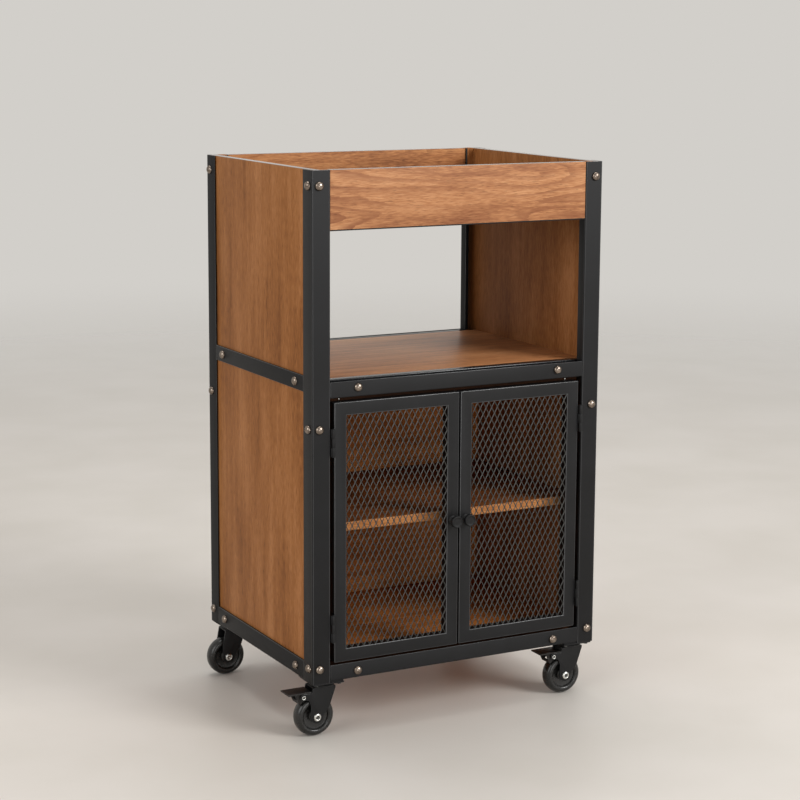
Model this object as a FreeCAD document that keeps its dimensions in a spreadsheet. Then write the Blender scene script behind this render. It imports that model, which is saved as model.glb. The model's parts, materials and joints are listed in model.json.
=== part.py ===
"""Microwave cart: an open tray, an open bay for the microwave, a cabinet with two mesh doors, four casters.

Lengths are millimetres. +X is to the right seen from the doors, -Y is the door side and +Z is up. The origin is the
middle of the microwave shelf's top face. Heights are counted from the lower end of the corner posts, at `base`.
"""

import FreeCAD
import Part
import math
import os
import Sketcher

PARTS_FOLDER = "parts"


class Size:
    """A length that carries its number together with the sheet rule that gives it."""

    def __init__(self, rule, number):
        self.rule = rule
        self.number = float(number)

    @staticmethod
    def of(other):
        return other if isinstance(other, Size) else Size(repr(float(other)), other)

    def __add__(self, other):
        other = Size.of(other)
        return Size(f"({self.rule} + {other.rule})", self.number + other.number)

    def __sub__(self, other):
        other = Size.of(other)
        return Size(f"({self.rule} - {other.rule})", self.number - other.number)

    def __mul__(self, other):
        other = Size.of(other)
        return Size(f"({self.rule} * {other.rule})", self.number * other.number)

    def __truediv__(self, other):
        other = Size.of(other)
        return Size(f"({self.rule} / {other.rule})", self.number / other.number)

    def __radd__(self, other):
        return Size.of(other) + self

    def __rsub__(self, other):
        return Size.of(other) - self

    def __rmul__(self, other):
        return Size.of(other) * self

    def __neg__(self):
        return Size(f"(0 - {self.rule})", -self.number)

    def __float__(self):
        return self.number


class Drawing:
    """The document, its sheet of sizes, and the ways in which pieces are made from them."""

    def __init__(self, name):
        self.doc = FreeCAD.newDocument(name)
        self.sheet = self.doc.addObject("Spreadsheet::Sheet", "Sizes")
        self.row = 0
        self.nodes = []

    def size(self, alias, number):
        """One row of the sheet: the alias, then the number that bears it."""
        self.row += 1
        self.sheet.set(f"A{self.row}", alias)
        self.sheet.set(f"B{self.row}", repr(number))
        self.sheet.setAlias(f"B{self.row}", alias)
        return Size(f"Sizes.{alias}", number)

    def bind(self, item, field, size):
        item.setExpression(field, Size.of(size).rule)

    def put(self, item, x, y, z):
        for axis, size in zip("xyz", (x, y, z)):
            self.bind(item, f"Placement.Base.{axis}", size)

    def keep(self, item, node):
        """Names the finished piece and lists it among the nodes."""
        item.Label = node
        self.nodes.append(item)
        return item

    def block(self, name, x, y, z):
        """A box from pairs of lowest and highest values."""
        item = self.doc.addObject("Part::Box", name)
        for field, span in zip(("Length", "Width", "Height"), (x, y, z)):
            self.bind(item, field, span[1] - span[0])
        self.put(item, x[0], y[0], z[0])
        return item

    def rod(self, name, along, start, radius, length):
        """A cylinder from its start point towards +X, +Y or +Z."""
        item = self.doc.addObject("Part::Cylinder", name)
        item.Placement = FreeCAD.Placement(FreeCAD.Vector(), TURNS[along])
        self.bind(item, "Radius", radius)
        self.bind(item, "Height", length)
        self.put(item, *start)
        return item

    def hexagon(self, name, along, start, corner_radius, length):
        """A six-sided prism from its start point towards +X, +Y or +Z."""
        item = self.doc.addObject("Part::Prism", name)
        item.Polygon = 6
        item.Placement = FreeCAD.Placement(FreeCAD.Vector(), TURNS[along])
        self.bind(item, "Circumradius", corner_radius)
        self.bind(item, "Height", length)
        self.put(item, *start)
        return item

    def outline(self, body, name, plane, loops):
        """A fully constrained sketch of straight-sided loops on one of the body's origin planes."""
        sketch = body.newObject("Sketcher::SketchObject", name)
        support = next(item for item in body.Origin.OriginFeatures if item.Role == plane)
        sketch.AttachmentSupport = [(support, "")]
        sketch.MapMode = "FlatFace"
        for loop in loops:
            first = sketch.GeometryCount
            corners = [FreeCAD.Vector(float(across), float(up), 0) for across, up in loop]
            for number, corner in enumerate(corners):
                after = corners[(number + 1) % len(corners)]
                sketch.addGeometry(Part.LineSegment(corner, after), False)
            for number, (across, up) in enumerate(loop):
                line = first + number
                following = first + (number + 1) % len(loop)
                sketch.addConstraint(Sketcher.Constraint("Coincident", line, 2, following, 1))
                for kind, size in (("DistanceX", across), ("DistanceY", up)):
                    datum = sketch.addConstraint(Sketcher.Constraint(kind, -1, 1, line, 1, float(size)))
                    self.bind(sketch, f"Constraints[{datum}]", size)
        return sketch

    def prism(self, name, plane, loops, start, depth):
        """A body padded from straight-sided loops; on XZ_Plane the pad runs towards -Y from its start."""
        body = self.doc.addObject("PartDesign::Body", name)
        pad = body.newObject("PartDesign::Pad", f"{name}_pad")
        pad.Profile = self.outline(body, f"{name}_outline", plane, loops)
        self.bind(pad, "Length", depth)
        body.Tip = pad
        self.put(body, *start)
        return body

    def turned(self, name, outline, along, centre):
        """A body turned from (radius, height) corners round an axis towards +X, +Y or +Z through its centre."""
        body = self.doc.addObject("PartDesign::Body", name)
        body.Placement = FreeCAD.Placement(FreeCAD.Vector(), TURNS[along])
        turn = body.newObject("PartDesign::Revolution", f"{name}_turn")
        sketch = self.outline(body, f"{name}_outline", "XZ_Plane", [outline])
        turn.Profile = sketch
        turn.ReferenceAxis = (sketch, ["V_Axis"])
        turn.Angle = 360
        body.Tip = turn
        self.put(body, *centre)
        return body

    def rounded(self, body, name, near, radius):
        """Rounds the body's upright edge nearest to a point of the body's own plan."""
        self.doc.recompute()
        base = body.Tip
        upright = [
            (math.hypot(edge.CenterOfMass.x - near[0], edge.CenterOfMass.y - near[1]), number)
            for number, edge in enumerate(base.Shape.Edges, 1)
            if edge.BoundBox.ZLength > edge.BoundBox.DiagonalLength / 2
        ]
        fillet = body.newObject("PartDesign::Fillet", name)
        fillet.Base = (base, [f"Edge{min(upright)[1]}"])
        self.bind(fillet, "Radius", radius)
        body.Tip = fillet
        return body

    def join(self, name, items):
        fused = self.doc.addObject("Part::MultiFuse", name)
        fused.Shapes = items
        return fused

    def group(self, name, items):
        """Separate solids of one kind under one name."""
        item = self.doc.addObject("Part::Compound", name)
        item.Links = items
        return item

    def bored(self, name, base, tools):
        """The base with the tools' volumes taken out."""
        cut = self.doc.addObject("Part::Cut", name)
        cut.Base = base
        cut.Tool = tools[0] if len(tools) == 1 else self.join(f"{name}_tools", tools)
        return cut


TURNS = {
    "x": FreeCAD.Rotation(FreeCAD.Vector(0, 1, 0), 90),
    "y": FreeCAD.Rotation(FreeCAD.Vector(1, 0, 0), -90),
    "z": FreeCAD.Rotation(),
}
SIDES = {"left": -1, "right": 1}
ENDS = {"front": -1, "rear": 1}
CORNERS = [(end, side) for end in ENDS for side in SIDES]
DOME_STEPS = 5
SMALLEST_HOLE_SHARE = 12

d = Drawing("MicrowaveCart")

# Overall frame
cart_width = d.size("cart_width", 600)
cart_depth = d.size("cart_depth", 464)
post_height = d.size("post_height", 925)
post_flange = d.size("post_flange", 36)
post_lip = d.size("post_lip", 20)
post_wall = d.size("post_wall", 2)
post_corner_radius = d.size("post_corner_radius", 3)
post_lip_radius = d.size("post_lip_radius", 2)
fit_gap = d.size("fit_gap", 0.2)
press_gap = d.size("press_gap", 0.02)
foot_plate_side = d.size("foot_plate_side", 63)
foot_plate_thickness = d.size("foot_plate_thickness", 3)

# Boards
panel_recess = d.size("panel_recess", 4)
panel_thickness = d.size("panel_thickness", 15)
tray_wall_height = d.size("tray_wall_height", 105)
tray_wall_thickness = d.size("tray_wall_thickness", 15)
tray_wall_recess = d.size("tray_wall_recess", 1)
tray_floor_thickness = d.size("tray_floor_thickness", 2)
shelf_rise = d.size("shelf_rise", 552)
shelf_thickness = d.size("shelf_thickness", 15)
stretcher_thickness = d.size("stretcher_thickness", 15)
stretcher_height = d.size("stretcher_height", 37.5)
low_stretcher_height = d.size("low_stretcher_height", 26.3)
floor_thickness = d.size("floor_thickness", 15)
back_thickness = d.size("back_thickness", 12)
inner_shelf_rise = d.size("inner_shelf_rise", 283)
inner_shelf_thickness = d.size("inner_shelf_thickness", 16)
inner_shelf_setback = d.size("inner_shelf_setback", 7)
trim_thickness = d.size("trim_thickness", 1.5)
trim_height = d.size("trim_height", 9)

# Steel rails
rail_height = d.size("rail_height", 29)
rail_wall = d.size("rail_wall", 2.5)
mid_rail_drop = d.size("mid_rail_drop", 30.5)
low_rail_height = d.size("low_rail_height", 29.5)
side_rail_height = d.size("side_rail_height", 29)
side_rail_drop = d.size("side_rail_drop", 20.5)
low_side_rail_height = d.size("low_side_rail_height", 34)

# Dome-head bolts
bolt_head_radius = d.size("bolt_head_radius", 8.2)
bolt_head_height = d.size("bolt_head_height", 6.5)
bolt_radius = d.size("bolt_radius", 3)
bolt_clearance = d.size("bolt_clearance", 0.05)
post_bolt_inset = d.size("post_bolt_inset", 14.5)
post_bolt_low = d.size("post_bolt_low", 28)
post_bolt_mid_drop = d.size("post_bolt_mid_drop", 85)
post_bolt_drop = d.size("post_bolt_drop", 27.5)
long_bolt_length = d.size("long_bolt_length", 32)
short_bolt_length = d.size("short_bolt_length", 10.5)
rail_bolt_inset = d.size("rail_bolt_inset", 91)
rail_bolt_rise = d.size("rail_bolt_rise", 17)
low_rail_bolt_rise = d.size("low_rail_bolt_rise", 13.5)
side_rail_bolt_inset = d.size("side_rail_bolt_inset", 69)
screw_radius = d.size("screw_radius", 1.5)
screw_head_radius = d.size("screw_head_radius", 2.2)
screw_head_height = d.size("screw_head_height", 1.4)
screw_length = d.size("screw_length", 10)
screw_inset = d.size("screw_inset", 62)
screw_rise = d.size("screw_rise", 2.9)

# Doors
door_side_gap = d.size("door_side_gap", 8)
door_middle_gap = d.size("door_middle_gap", 3.2)
door_low_gap = d.size("door_low_gap", 4)
door_top_gap = d.size("door_top_gap", 8)
door_member = d.size("door_member", 24)
door_depth = d.size("door_depth", 20)
door_tube_wall = d.size("door_tube_wall", 1.5)
mesh_thickness = d.size("mesh_thickness", 1)
mesh_setback = d.size("mesh_setback", 1.5)
mesh_gap = d.size("mesh_gap", 0.1)
mesh_pitch_across = d.size("mesh_pitch_across", 18.8)
mesh_pitch_up = d.size("mesh_pitch_up", 34)
mesh_strand = d.size("mesh_strand", 1.6)
mesh_border = d.size("mesh_border", 1.5)
knob_rise = d.size("knob_rise", 274.5)
knob_inset = d.size("knob_inset", 14)
knob_radius = d.size("knob_radius", 11.5)
knob_length = d.size("knob_length", 20)
knob_rose_radius = d.size("knob_rose_radius", 9)
knob_neck_radius = d.size("knob_neck_radius", 5)
knob_rose_edge = d.size("knob_rose_edge", 1.5)
knob_rose_bevel = d.size("knob_rose_bevel", 1)
knob_neck_start = d.size("knob_neck_start", 4)
knob_head_height = d.size("knob_head_height", 12)
knob_shoulder_height = d.size("knob_shoulder_height", 9)
knob_shoulder_inset = d.size("knob_shoulder_inset", 2)
knob_rim_height = d.size("knob_rim_height", 6.5)
knob_rim_edge = d.size("knob_rim_edge", 3)
knob_face_bevel = d.size("knob_face_bevel", 1)
knob_face_inset = d.size("knob_face_inset", 4)
knob_edge_inset = d.size("knob_edge_inset", 1.5)

# Butt hinges
hinge_height = d.size("hinge_height", 50)
hinge_foot_inset = d.size("hinge_foot_inset", 64.5)
hinge_top_inset = d.size("hinge_top_inset", 71.5)
hinge_leaf = d.size("hinge_leaf", 1.2)
hinge_leaf_depth = d.size("hinge_leaf_depth", 16)
hinge_barrel_radius = d.size("hinge_barrel_radius", 3.2)
hinge_barrel_proud = d.size("hinge_barrel_proud", 3.5)
hinge_pin_radius = d.size("hinge_pin_radius", 1.5)
hinge_running_gap = d.size("hinge_running_gap", 0.05)
hinge_end_gap = d.size("hinge_end_gap", 0.3)
hinge_pin_head = d.size("hinge_pin_head", 1)
hinge_pin_head_inset = d.size("hinge_pin_head_inset", 0.8)

# Magnetic catch and shelf pins
catch_width = d.size("catch_width", 48)
catch_height = d.size("catch_height", 14)
catch_depth = d.size("catch_depth", 13)
shelf_pin_radius = d.size("shelf_pin_radius", 2.5)
shelf_pin_bore = d.size("shelf_pin_bore", 8)
shelf_pin_reach = d.size("shelf_pin_reach", 8)
shelf_pin_setback = d.size("shelf_pin_setback", 45)

# Casters
caster_height = d.size("caster_height", 103)
caster_inset_x = d.size("caster_inset_x", 34)
caster_inset_y = d.size("caster_inset_y", 31)
caster_plate_side = d.size("caster_plate_side", 60)
caster_plate_thickness = d.size("caster_plate_thickness", 2.5)
caster_bolt_spacing = d.size("caster_bolt_spacing", 46)
caster_bolt_radius = d.size("caster_bolt_radius", 2.5)
caster_bolt_head_radius = d.size("caster_bolt_head_radius", 4.3)
caster_bolt_head_height = d.size("caster_bolt_head_height", 3)
race_radius = d.size("race_radius", 20)
race_height = d.size("race_height", 4.5)
crown_radius = d.size("crown_radius", 22)
crown_height = d.size("crown_height", 2.7)
fork_wall = d.size("fork_wall", 2.7)
fork_shoulder_drop = d.size("fork_shoulder_drop", 4)
fork_front_swell = d.size("fork_front_swell", 14)
fork_front_waist = d.size("fork_front_waist", 20)
fork_back_waist = d.size("fork_back_waist", 23)
fork_arch_run = d.size("fork_arch_run", 4)
fork_arch_drop = d.size("fork_arch_drop", 7)
fork_front = d.size("fork_front", 19)
fork_back = d.size("fork_back", 24)
kingpin_radius = d.size("kingpin_radius", 5)
kingpin_head_radius = d.size("kingpin_head_radius", 8)
kingpin_head_height = d.size("kingpin_head_height", 2.5)
swivel_gap = d.size("swivel_gap", 0.3)
running_gap = d.size("running_gap", 0.05)
wheel_radius = d.size("wheel_radius", 37.5)
wheel_width = d.size("wheel_width", 26)
wheel_trail = d.size("wheel_trail", 18)
wheel_side_gap = d.size("wheel_side_gap", 1.5)
hub_radius = d.size("hub_radius", 9)
hub_flare = d.size("hub_flare", 1.5)
hub_step = d.size("hub_step", 3)
dish_inset = d.size("dish_inset", 14)
dish_depth = d.size("dish_depth", 5)
wall_inset = d.size("wall_inset", 10)
wall_step = d.size("wall_step", 0.7)
wall_top_inset = d.size("wall_top_inset", 7.5)
shoulder_inset = d.size("shoulder_inset", 3.5)
shoulder_step = d.size("shoulder_step", 1.6)
crown_edge_inset = d.size("crown_edge_inset", 1)
crown_edge_step = d.size("crown_edge_step", 5.4)
tread_step = d.size("tread_step", 10)
axle_radius = d.size("axle_radius", 4)
axle_head_radius = d.size("axle_head_radius", 7.5)
axle_head_height = d.size("axle_head_height", 3.6)
axle_head_face_inset = d.size("axle_head_face_inset", 2.25)
axle_head_edge_inset = d.size("axle_head_edge_inset", 0.525)
axle_head_edge_drop = d.size("axle_head_edge_drop", 1.08)
axle_end = d.size("axle_end", 2)
axle_nut_corner = d.size("axle_nut_corner", 7.5)
axle_nut_height = d.size("axle_nut_height", 6)
fork_boss_radius = d.size("fork_boss_radius", 12)
brake_pin_back = d.size("brake_pin_back", 45)
brake_pin_drop = d.size("brake_pin_drop", 25)
brake_pin_radius = d.size("brake_pin_radius", 2.5)
brake_pin_head_radius = d.size("brake_pin_head_radius", 3.7)
brake_pin_head_height = d.size("brake_pin_head_height", 1.6)
brake_boss_radius = d.size("brake_boss_radius", 6)
brake_ear_foot = d.size("brake_ear_foot", 0.8)
brake_ear_lap = d.size("brake_ear_lap", 0.2)
brake_ear_run = d.size("brake_ear_run", 17.5)
brake_arm_run = d.size("brake_arm_run", 2)
brake_arm_drop = d.size("brake_arm_drop", 1)
brake_pad_back = d.size("brake_pad_back", 4.3)
brake_pad_drop = d.size("brake_pad_drop", 12.8)
brake_pad_thickness = d.size("brake_pad_thickness", 3.1)
brake_pad_height = d.size("brake_pad_height", 5)
lever_reach = d.size("lever_reach", 30)
lever_wall = d.size("lever_wall", 2.5)
lever_tab = d.size("lever_tab", 2)
lever_side_gap = d.size("lever_side_gap", 0.6)
lever_heel = d.size("lever_heel", 16)
lever_rise = d.size("lever_rise", 0.5)
lever_skirt = d.size("lever_skirt", 16)
lever_toe = d.size("lever_toe", 2)
lever_toe_drop = d.size("lever_toe_drop", 5.5)

# Planes and levels that several pieces share
left_face = -cart_width / 2
right_face = cart_width / 2
front_face = -cart_depth / 2
rear_face = cart_depth / 2
base = -shelf_rise
post_top = base + post_height
panel_inside = cart_width / 2 - panel_recess - panel_thickness
panel_outside = cart_width / 2 - panel_recess
lip_face = cart_width / 2 - post_flange
stretcher_near = post_lip + fit_gap
stretcher_far = stretcher_near + stretcher_thickness
boards_end = cart_depth / 2 - stretcher_far
mid_rail_low = -mid_rail_drop
side_rail_low = -side_rail_drop
low_rail_low = base + foot_plate_thickness
low_rail_top = low_rail_low + low_rail_height
cabinet_floor_top = low_rail_low + rail_wall + low_stretcher_height + fit_gap
shelf_underside = Size.of(0) - shelf_thickness
stretcher_top = Size.of(0) - trim_thickness
tray_low = post_top - tray_wall_height
inner_shelf_top = base + inner_shelf_rise
door_bottom = low_rail_top + door_low_gap
door_top = mid_rail_low - door_top_gap
door_outer = lip_face - door_side_gap
door_inner = door_middle_gap / 2
door_back = front_face + door_depth
hinge_x = lip_face - door_side_gap / 2
hinge_y = front_face - hinge_barrel_proud
floor_level = base - caster_height
axle_level = floor_level + wheel_radius
fork_inside = wheel_width / 2 + wheel_side_gap
fork_outside = fork_inside + fork_wall
race_low = base - caster_plate_thickness - race_height
crown_top = race_low - swivel_gap
fork_top = crown_top - crown_height
fork_plate_low = fork_top - fork_wall
kingpin_low = fork_plate_low - swivel_gap - kingpin_head_height


def span(middle, half):
    return middle - half, middle + half


def mirrored(side, low, high):
    """The span from low to high on the +X or +Y half, or its mirror image on the other half."""
    return (low, high) if side > 0 else (-high, -low)


def bolt_hole(name, along, point, length):
    """A hole that takes a dome-head bolt, from a point on the outer face inwards along +X or +Y."""
    return d.rod(name, along, point, bolt_radius + bolt_clearance, length)


def corner_heights():
    """Heights of the three bolts in each flange of a post."""
    return base + post_bolt_low, -post_bolt_mid_drop, post_top - post_bolt_drop


def flange_holes(tag, end, side):
    """Clearance holes along Y through a front or rear flange and into the side panel's edge."""
    x = SIDES[side] * (cart_width / 2 - post_bolt_inset)
    start = front_face if end == "front" else rear_face - long_bolt_length
    return [
        bolt_hole(f"{tag}_{end}_{side}_edge_hole_{n}", "y", (x, start, z), long_bolt_length)
        for n, z in enumerate(corner_heights(), 1)
    ]


def side_holes(tag, end, side):
    """Clearance holes along X through a side flange and into the side panel's face."""
    y = ENDS[end] * (cart_depth / 2 - post_bolt_inset)
    start = left_face if side == "left" else right_face - short_bolt_length
    return [
        bolt_hole(f"{tag}_{end}_{side}_face_hole_{n}", "x", (start, y, z), short_bolt_length)
        for n, z in enumerate(corner_heights(), 1)
    ]


def rail_bolt_points(end):
    """Where the bolts of the front or rear rails start, on the outer face."""
    y = front_face if end == "front" else rear_face - long_bolt_length
    heights = (mid_rail_low + rail_bolt_rise, low_rail_low + low_rail_bolt_rise)
    return [(sign * (cart_width / 2 - rail_bolt_inset), y, z) for z in heights for sign in (-1, 1)]


def side_rail_bolt_points(side):
    """Where the bolts of the side rails start, on the outer face."""
    x = left_face if side == "left" else right_face - short_bolt_length
    heights = (side_rail_low + side_rail_height / 2, low_rail_low + low_side_rail_height / 2)
    return [(x, sign * (cart_depth / 2 - side_rail_bolt_inset), z) for z in heights for sign in (-1, 1)]


def make_post(end, side):
    """A corner post: an angle of sheet steel whose front or rear flange has a lip turned inwards."""
    sx, sy = -SIDES[side], -ENDS[end]
    name = f"{end}_{side}_post"
    plan = [
        (0, 0),
        (post_flange, 0),
        (post_flange, post_lip),
        (post_flange - post_wall, post_lip),
        (post_flange - post_wall, post_wall),
        (post_wall, post_wall),
        (post_wall, post_flange),
        (0, post_flange),
    ]
    loop = [(Size.of(x) * sx, Size.of(y) * sy) for x, y in plan]
    corner = (left_face if side == "left" else right_face, front_face if end == "front" else rear_face)
    body = d.prism(f"{name}_blank", "XY_Plane", [loop], (corner[0], corner[1], base), post_height)
    near_corner = (float(corner[0]), float(corner[1]))
    near_lip = (near_corner[0] + sx * float(post_flange), near_corner[1])
    d.rounded(body, f"{name}_corner_round", (near_corner[0] - float(corner[0]), 0), post_corner_radius)
    d.rounded(body, f"{name}_lip_round", (near_lip[0] - float(corner[0]), 0), post_lip_radius)
    holes = flange_holes(name, end, side) + side_holes(name, end, side)
    d.keep(d.bored(f"{name}_bored", body, holes), name)


def make_foot_plates():
    """A flat plate welded inside each post's foot, notched for the lip and tapped for the caster's bolts."""
    plates = []
    for end, side in CORNERS:
        sx, sy = -SIDES[side], -ENDS[end]
        name = f"{end}_{side}_foot_plate"
        plan = [
            (post_wall, post_wall),
            (post_flange - post_wall, post_wall),
            (post_flange - post_wall, post_lip),
            (post_flange, post_lip),
            (post_flange, post_wall),
            (foot_plate_side, post_wall),
            (foot_plate_side, foot_plate_side),
            (post_wall, foot_plate_side),
        ]
        loop = [(Size.of(x) * sx, Size.of(y) * sy) for x, y in plan]
        corner = (left_face if side == "left" else right_face, front_face if end == "front" else rear_face)
        body = d.prism(f"{name}_blank", "XY_Plane", [loop], (corner[0], corner[1], base), foot_plate_thickness)
        plates.append(d.bored(name, body, caster_bolt_holes(name, end, side, base, foot_plate_thickness)))
    d.keep(d.group("foot_plate_group", plates), "foot_plates")


def make_side_panel(side):
    """One tall board per side, standing on the foot plates between the front and rear flanges."""
    name = f"{side}_side_panel"
    x = mirrored(SIDES[side], panel_inside, panel_outside)
    y = (front_face + post_wall, rear_face - post_wall)
    board = d.block(f"{name}_blank", x, y, (base + foot_plate_thickness, post_top))
    holes = []
    for end in ENDS:
        holes += flange_holes(name, end, side) + side_holes(name, end, side)
    for n, point in enumerate(side_rail_bolt_points(side), 1):
        holes.append(bolt_hole(f"{name}_rail_hole_{n}", "x", point, short_bolt_length))
    for n, (y_pin, z_pin) in enumerate(shelf_pin_points(), 1):
        x_pin = panel_inside if side == "right" else -panel_inside - shelf_pin_bore
        point = (x_pin, y_pin, z_pin)
        radius = shelf_pin_radius + bolt_clearance
        hole = d.rod(f"{name}_pin_hole_{n}", "x", point, radius, shelf_pin_bore)
        holes.append(hole)
    d.keep(d.bored(f"{name}_bored", board, holes), name)


def make_side_rails(side):
    """Flat bars bolted to the outside of a side panel, flush with the posts."""
    x = mirrored(SIDES[side], panel_outside, cart_width / 2)
    y = (front_face + post_flange + fit_gap, rear_face - post_flange - fit_gap)
    middle, low = side_rail_low, low_rail_low
    points = side_rail_bolt_points(side)
    for node, z, own in (
        (f"{side}_side_mid_rail", (middle, middle + side_rail_height), points[:2]),
        (f"{side}_side_bottom_rail", (low, low + low_side_rail_height), points[2:]),
    ):
        bar = d.block(f"{node}_blank", x, y, z)
        holes = [bolt_hole(f"{node}_hole_{n}", "x", point, short_bolt_length) for n, point in enumerate(own, 1)]
        d.keep(d.bored(f"{node}_bored", bar, holes), node)


def make_end_rails(end):
    """Angle rails between the lips at the front or rear: an upright leg outside, a flat leg below."""
    sign = ENDS[end]
    half = lip_face - fit_gap
    points = rail_bolt_points(end)
    for node, low, height, own in (
        (f"{end}_mid_rail", mid_rail_low, rail_height, points[:2]),
        (f"{end}_bottom_rail", low_rail_low, low_rail_height, points[2:]),
    ):
        plan = [
            (0, 0),
            (post_lip, 0),
            (post_lip, rail_wall),
            (rail_wall, rail_wall),
            (rail_wall, height),
            (0, height),
        ]
        loop = [(Size.of(y) * -sign, z) for y, z in plan]
        face = front_face if end == "front" else rear_face
        bar = d.prism(f"{node}_blank", "YZ_Plane", [loop], (-half, face, low), half * 2)
        holes = [bolt_hole(f"{node}_hole_{n}", "y", point, long_bolt_length) for n, point in enumerate(own, 1)]
        d.keep(d.bored(f"{node}_bored", bar, holes), node)


def make_stretchers(end):
    """Boards behind the rails, from side panel to side panel, which the rails' bolts are driven into."""
    sign = ENDS[end]
    x = (-panel_inside, panel_inside)
    y = mirrored(sign, boards_end, cart_depth / 2 - stretcher_near)
    points = rail_bolt_points(end)
    low = low_rail_low + rail_wall + fit_gap
    for node, z, own in (
        (f"{end}_mid_stretcher", (stretcher_top - stretcher_height, stretcher_top), points[:2]),
        (f"{end}_bottom_stretcher", (low, low + low_stretcher_height), points[2:]),
    ):
        board = d.block(f"{node}_blank", x, y, z)
        holes = [bolt_hole(f"{node}_hole_{n}", "y", point, long_bolt_length) for n, point in enumerate(own, 1)]
        if node == "front_mid_stretcher":
            holes += [
                d.rod(f"{node}_screw_hole_{n}", "y", point, screw_radius + bolt_clearance, screw_length)
                for n, point in enumerate(stretcher_screw_points(), 1)
            ]
        d.keep(d.bored(f"{node}_bored", board, holes), node)


def make_shelf_trim(end):
    """A thin angle that caps the mid stretcher level with the shelf's top face."""
    sign = ENDS[end]
    near = cart_depth / 2 - stretcher_near
    plan = [
        (boards_end, 0),
        (near + trim_thickness, 0),
        (near + trim_thickness, -trim_height),
        (near, -trim_height),
        (near, -trim_thickness),
        (boards_end, -trim_thickness),
    ]
    loop = [(Size.of(y) * sign, z) for y, z in plan]
    half = lip_face - fit_gap
    node = f"{end}_shelf_trim"
    d.keep(d.prism(f"{node}_bar", "YZ_Plane", [loop], (-half, 0, 0), half * 2), node)


def make_boards():
    """The microwave shelf, the cabinet's floor and back, and the loose shelf inside the cabinet."""
    x = (-panel_inside, panel_inside)
    y = (-boards_end, boards_end)
    d.keep(d.block("shelf_board", x, y, (shelf_underside, Size.of(0))), "microwave_shelf")
    back_face = boards_end - back_thickness
    floor_underside = cabinet_floor_top - floor_thickness
    floor_z, back_z = (floor_underside, cabinet_floor_top), (floor_underside, shelf_underside)
    d.keep(d.block("floor_board", x, (-boards_end, back_face), floor_z), "cabinet_floor")
    d.keep(d.block("back_board", x, (back_face, boards_end), back_z), "cabinet_back")
    inner_x = (-panel_inside + fit_gap, panel_inside - fit_gap)
    inner_y = (-boards_end + inner_shelf_setback, back_face - fit_gap)
    inner_z = (inner_shelf_top - inner_shelf_thickness, inner_shelf_top)
    d.keep(d.block("inner_board", inner_x, inner_y, inner_z), "inner_shelf")


def shelf_pin_points():
    """Where the pins under the inner shelf sit, as seen from the side."""
    z = inner_shelf_top - inner_shelf_thickness - shelf_pin_radius
    front = -boards_end + inner_shelf_setback + shelf_pin_setback
    rear = boards_end - back_thickness - shelf_pin_setback
    return (front, z), (rear, z)


def make_shelf_pins():
    pins = []
    for side in SIDES:
        start = panel_inside - shelf_pin_reach if side == "right" else -panel_inside - shelf_pin_bore
        for n, (y, z) in enumerate(shelf_pin_points(), 1):
            length = shelf_pin_bore + shelf_pin_reach
            pins.append(d.rod(f"{side}_shelf_pin_{n}", "x", (start, y, z), shelf_pin_radius, length))
    d.keep(d.group("shelf_pin_group", pins), "shelf_pins")


def make_tray():
    """The open tray on top: a board at the front and rear between the lips, on a sheet-steel floor."""
    outer = cart_depth / 2 - tray_wall_recess
    x = (-lip_face, lip_face)
    for end, node in (("front", "tray_front_board"), ("rear", "tray_back_board")):
        y = mirrored(ENDS[end], outer - tray_wall_thickness, outer)
        d.keep(d.block(f"{node}_blank", x, y, (tray_low, post_top)), node)
    lip_end = cart_depth / 2 - post_lip
    plan = [
        (lip_face, outer),
        (lip_face, lip_end),
        (panel_inside, lip_end),
        (panel_inside, -lip_end),
        (lip_face, -lip_end),
        (lip_face, -outer),
    ]
    loop = plan + [(-x, -y) for x, y in plan]
    start = (0, 0, tray_low - tray_floor_thickness)
    d.keep(d.prism("tray_floor_sheet", "XY_Plane", [loop], start, tray_floor_thickness), "tray_floor")
    blocks = [
        d.block(
            f"{end}_{side}_corner_block",
            mirrored(SIDES[side], lip_face + post_wall + fit_gap, panel_inside - fit_gap),
            mirrored(ENDS[end], lip_end, cart_depth / 2 - post_wall - fit_gap),
            (tray_low, post_top),
        )
        for end, side in CORNERS
    ]
    d.keep(d.group("tray_corner_group", blocks), "tray_corner_blocks")


def bolt_outline(length):
    """Half the section of a dome-head bolt: the shank from height 0 up, the head below it."""
    head = [
        (bolt_head_radius * math.sin(math.radians(angle)), -bolt_head_height * math.cos(math.radians(angle)))
        for angle in (90 * step / DOME_STEPS for step in range(DOME_STEPS + 1))
    ]
    return head + [(bolt_radius, 0), (bolt_radius, length), (0, length)]


def make_bolt(name, axis, inwards, x, y, z, length):
    """A dome-head bolt whose head rests on the outer face at (x, y, z) and whose shank runs inwards."""
    body = d.turned(name, bolt_outline(length), "z", (x, y, z))
    lean = FreeCAD.Vector(inwards, 0, 0) if axis == "x" else FreeCAD.Vector(0, inwards, 0)
    body.Placement = FreeCAD.Placement(body.Placement.Base, FreeCAD.Rotation(FreeCAD.Vector(0, 0, 1), lean))
    d.put(body, x, y, z)
    return body


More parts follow.
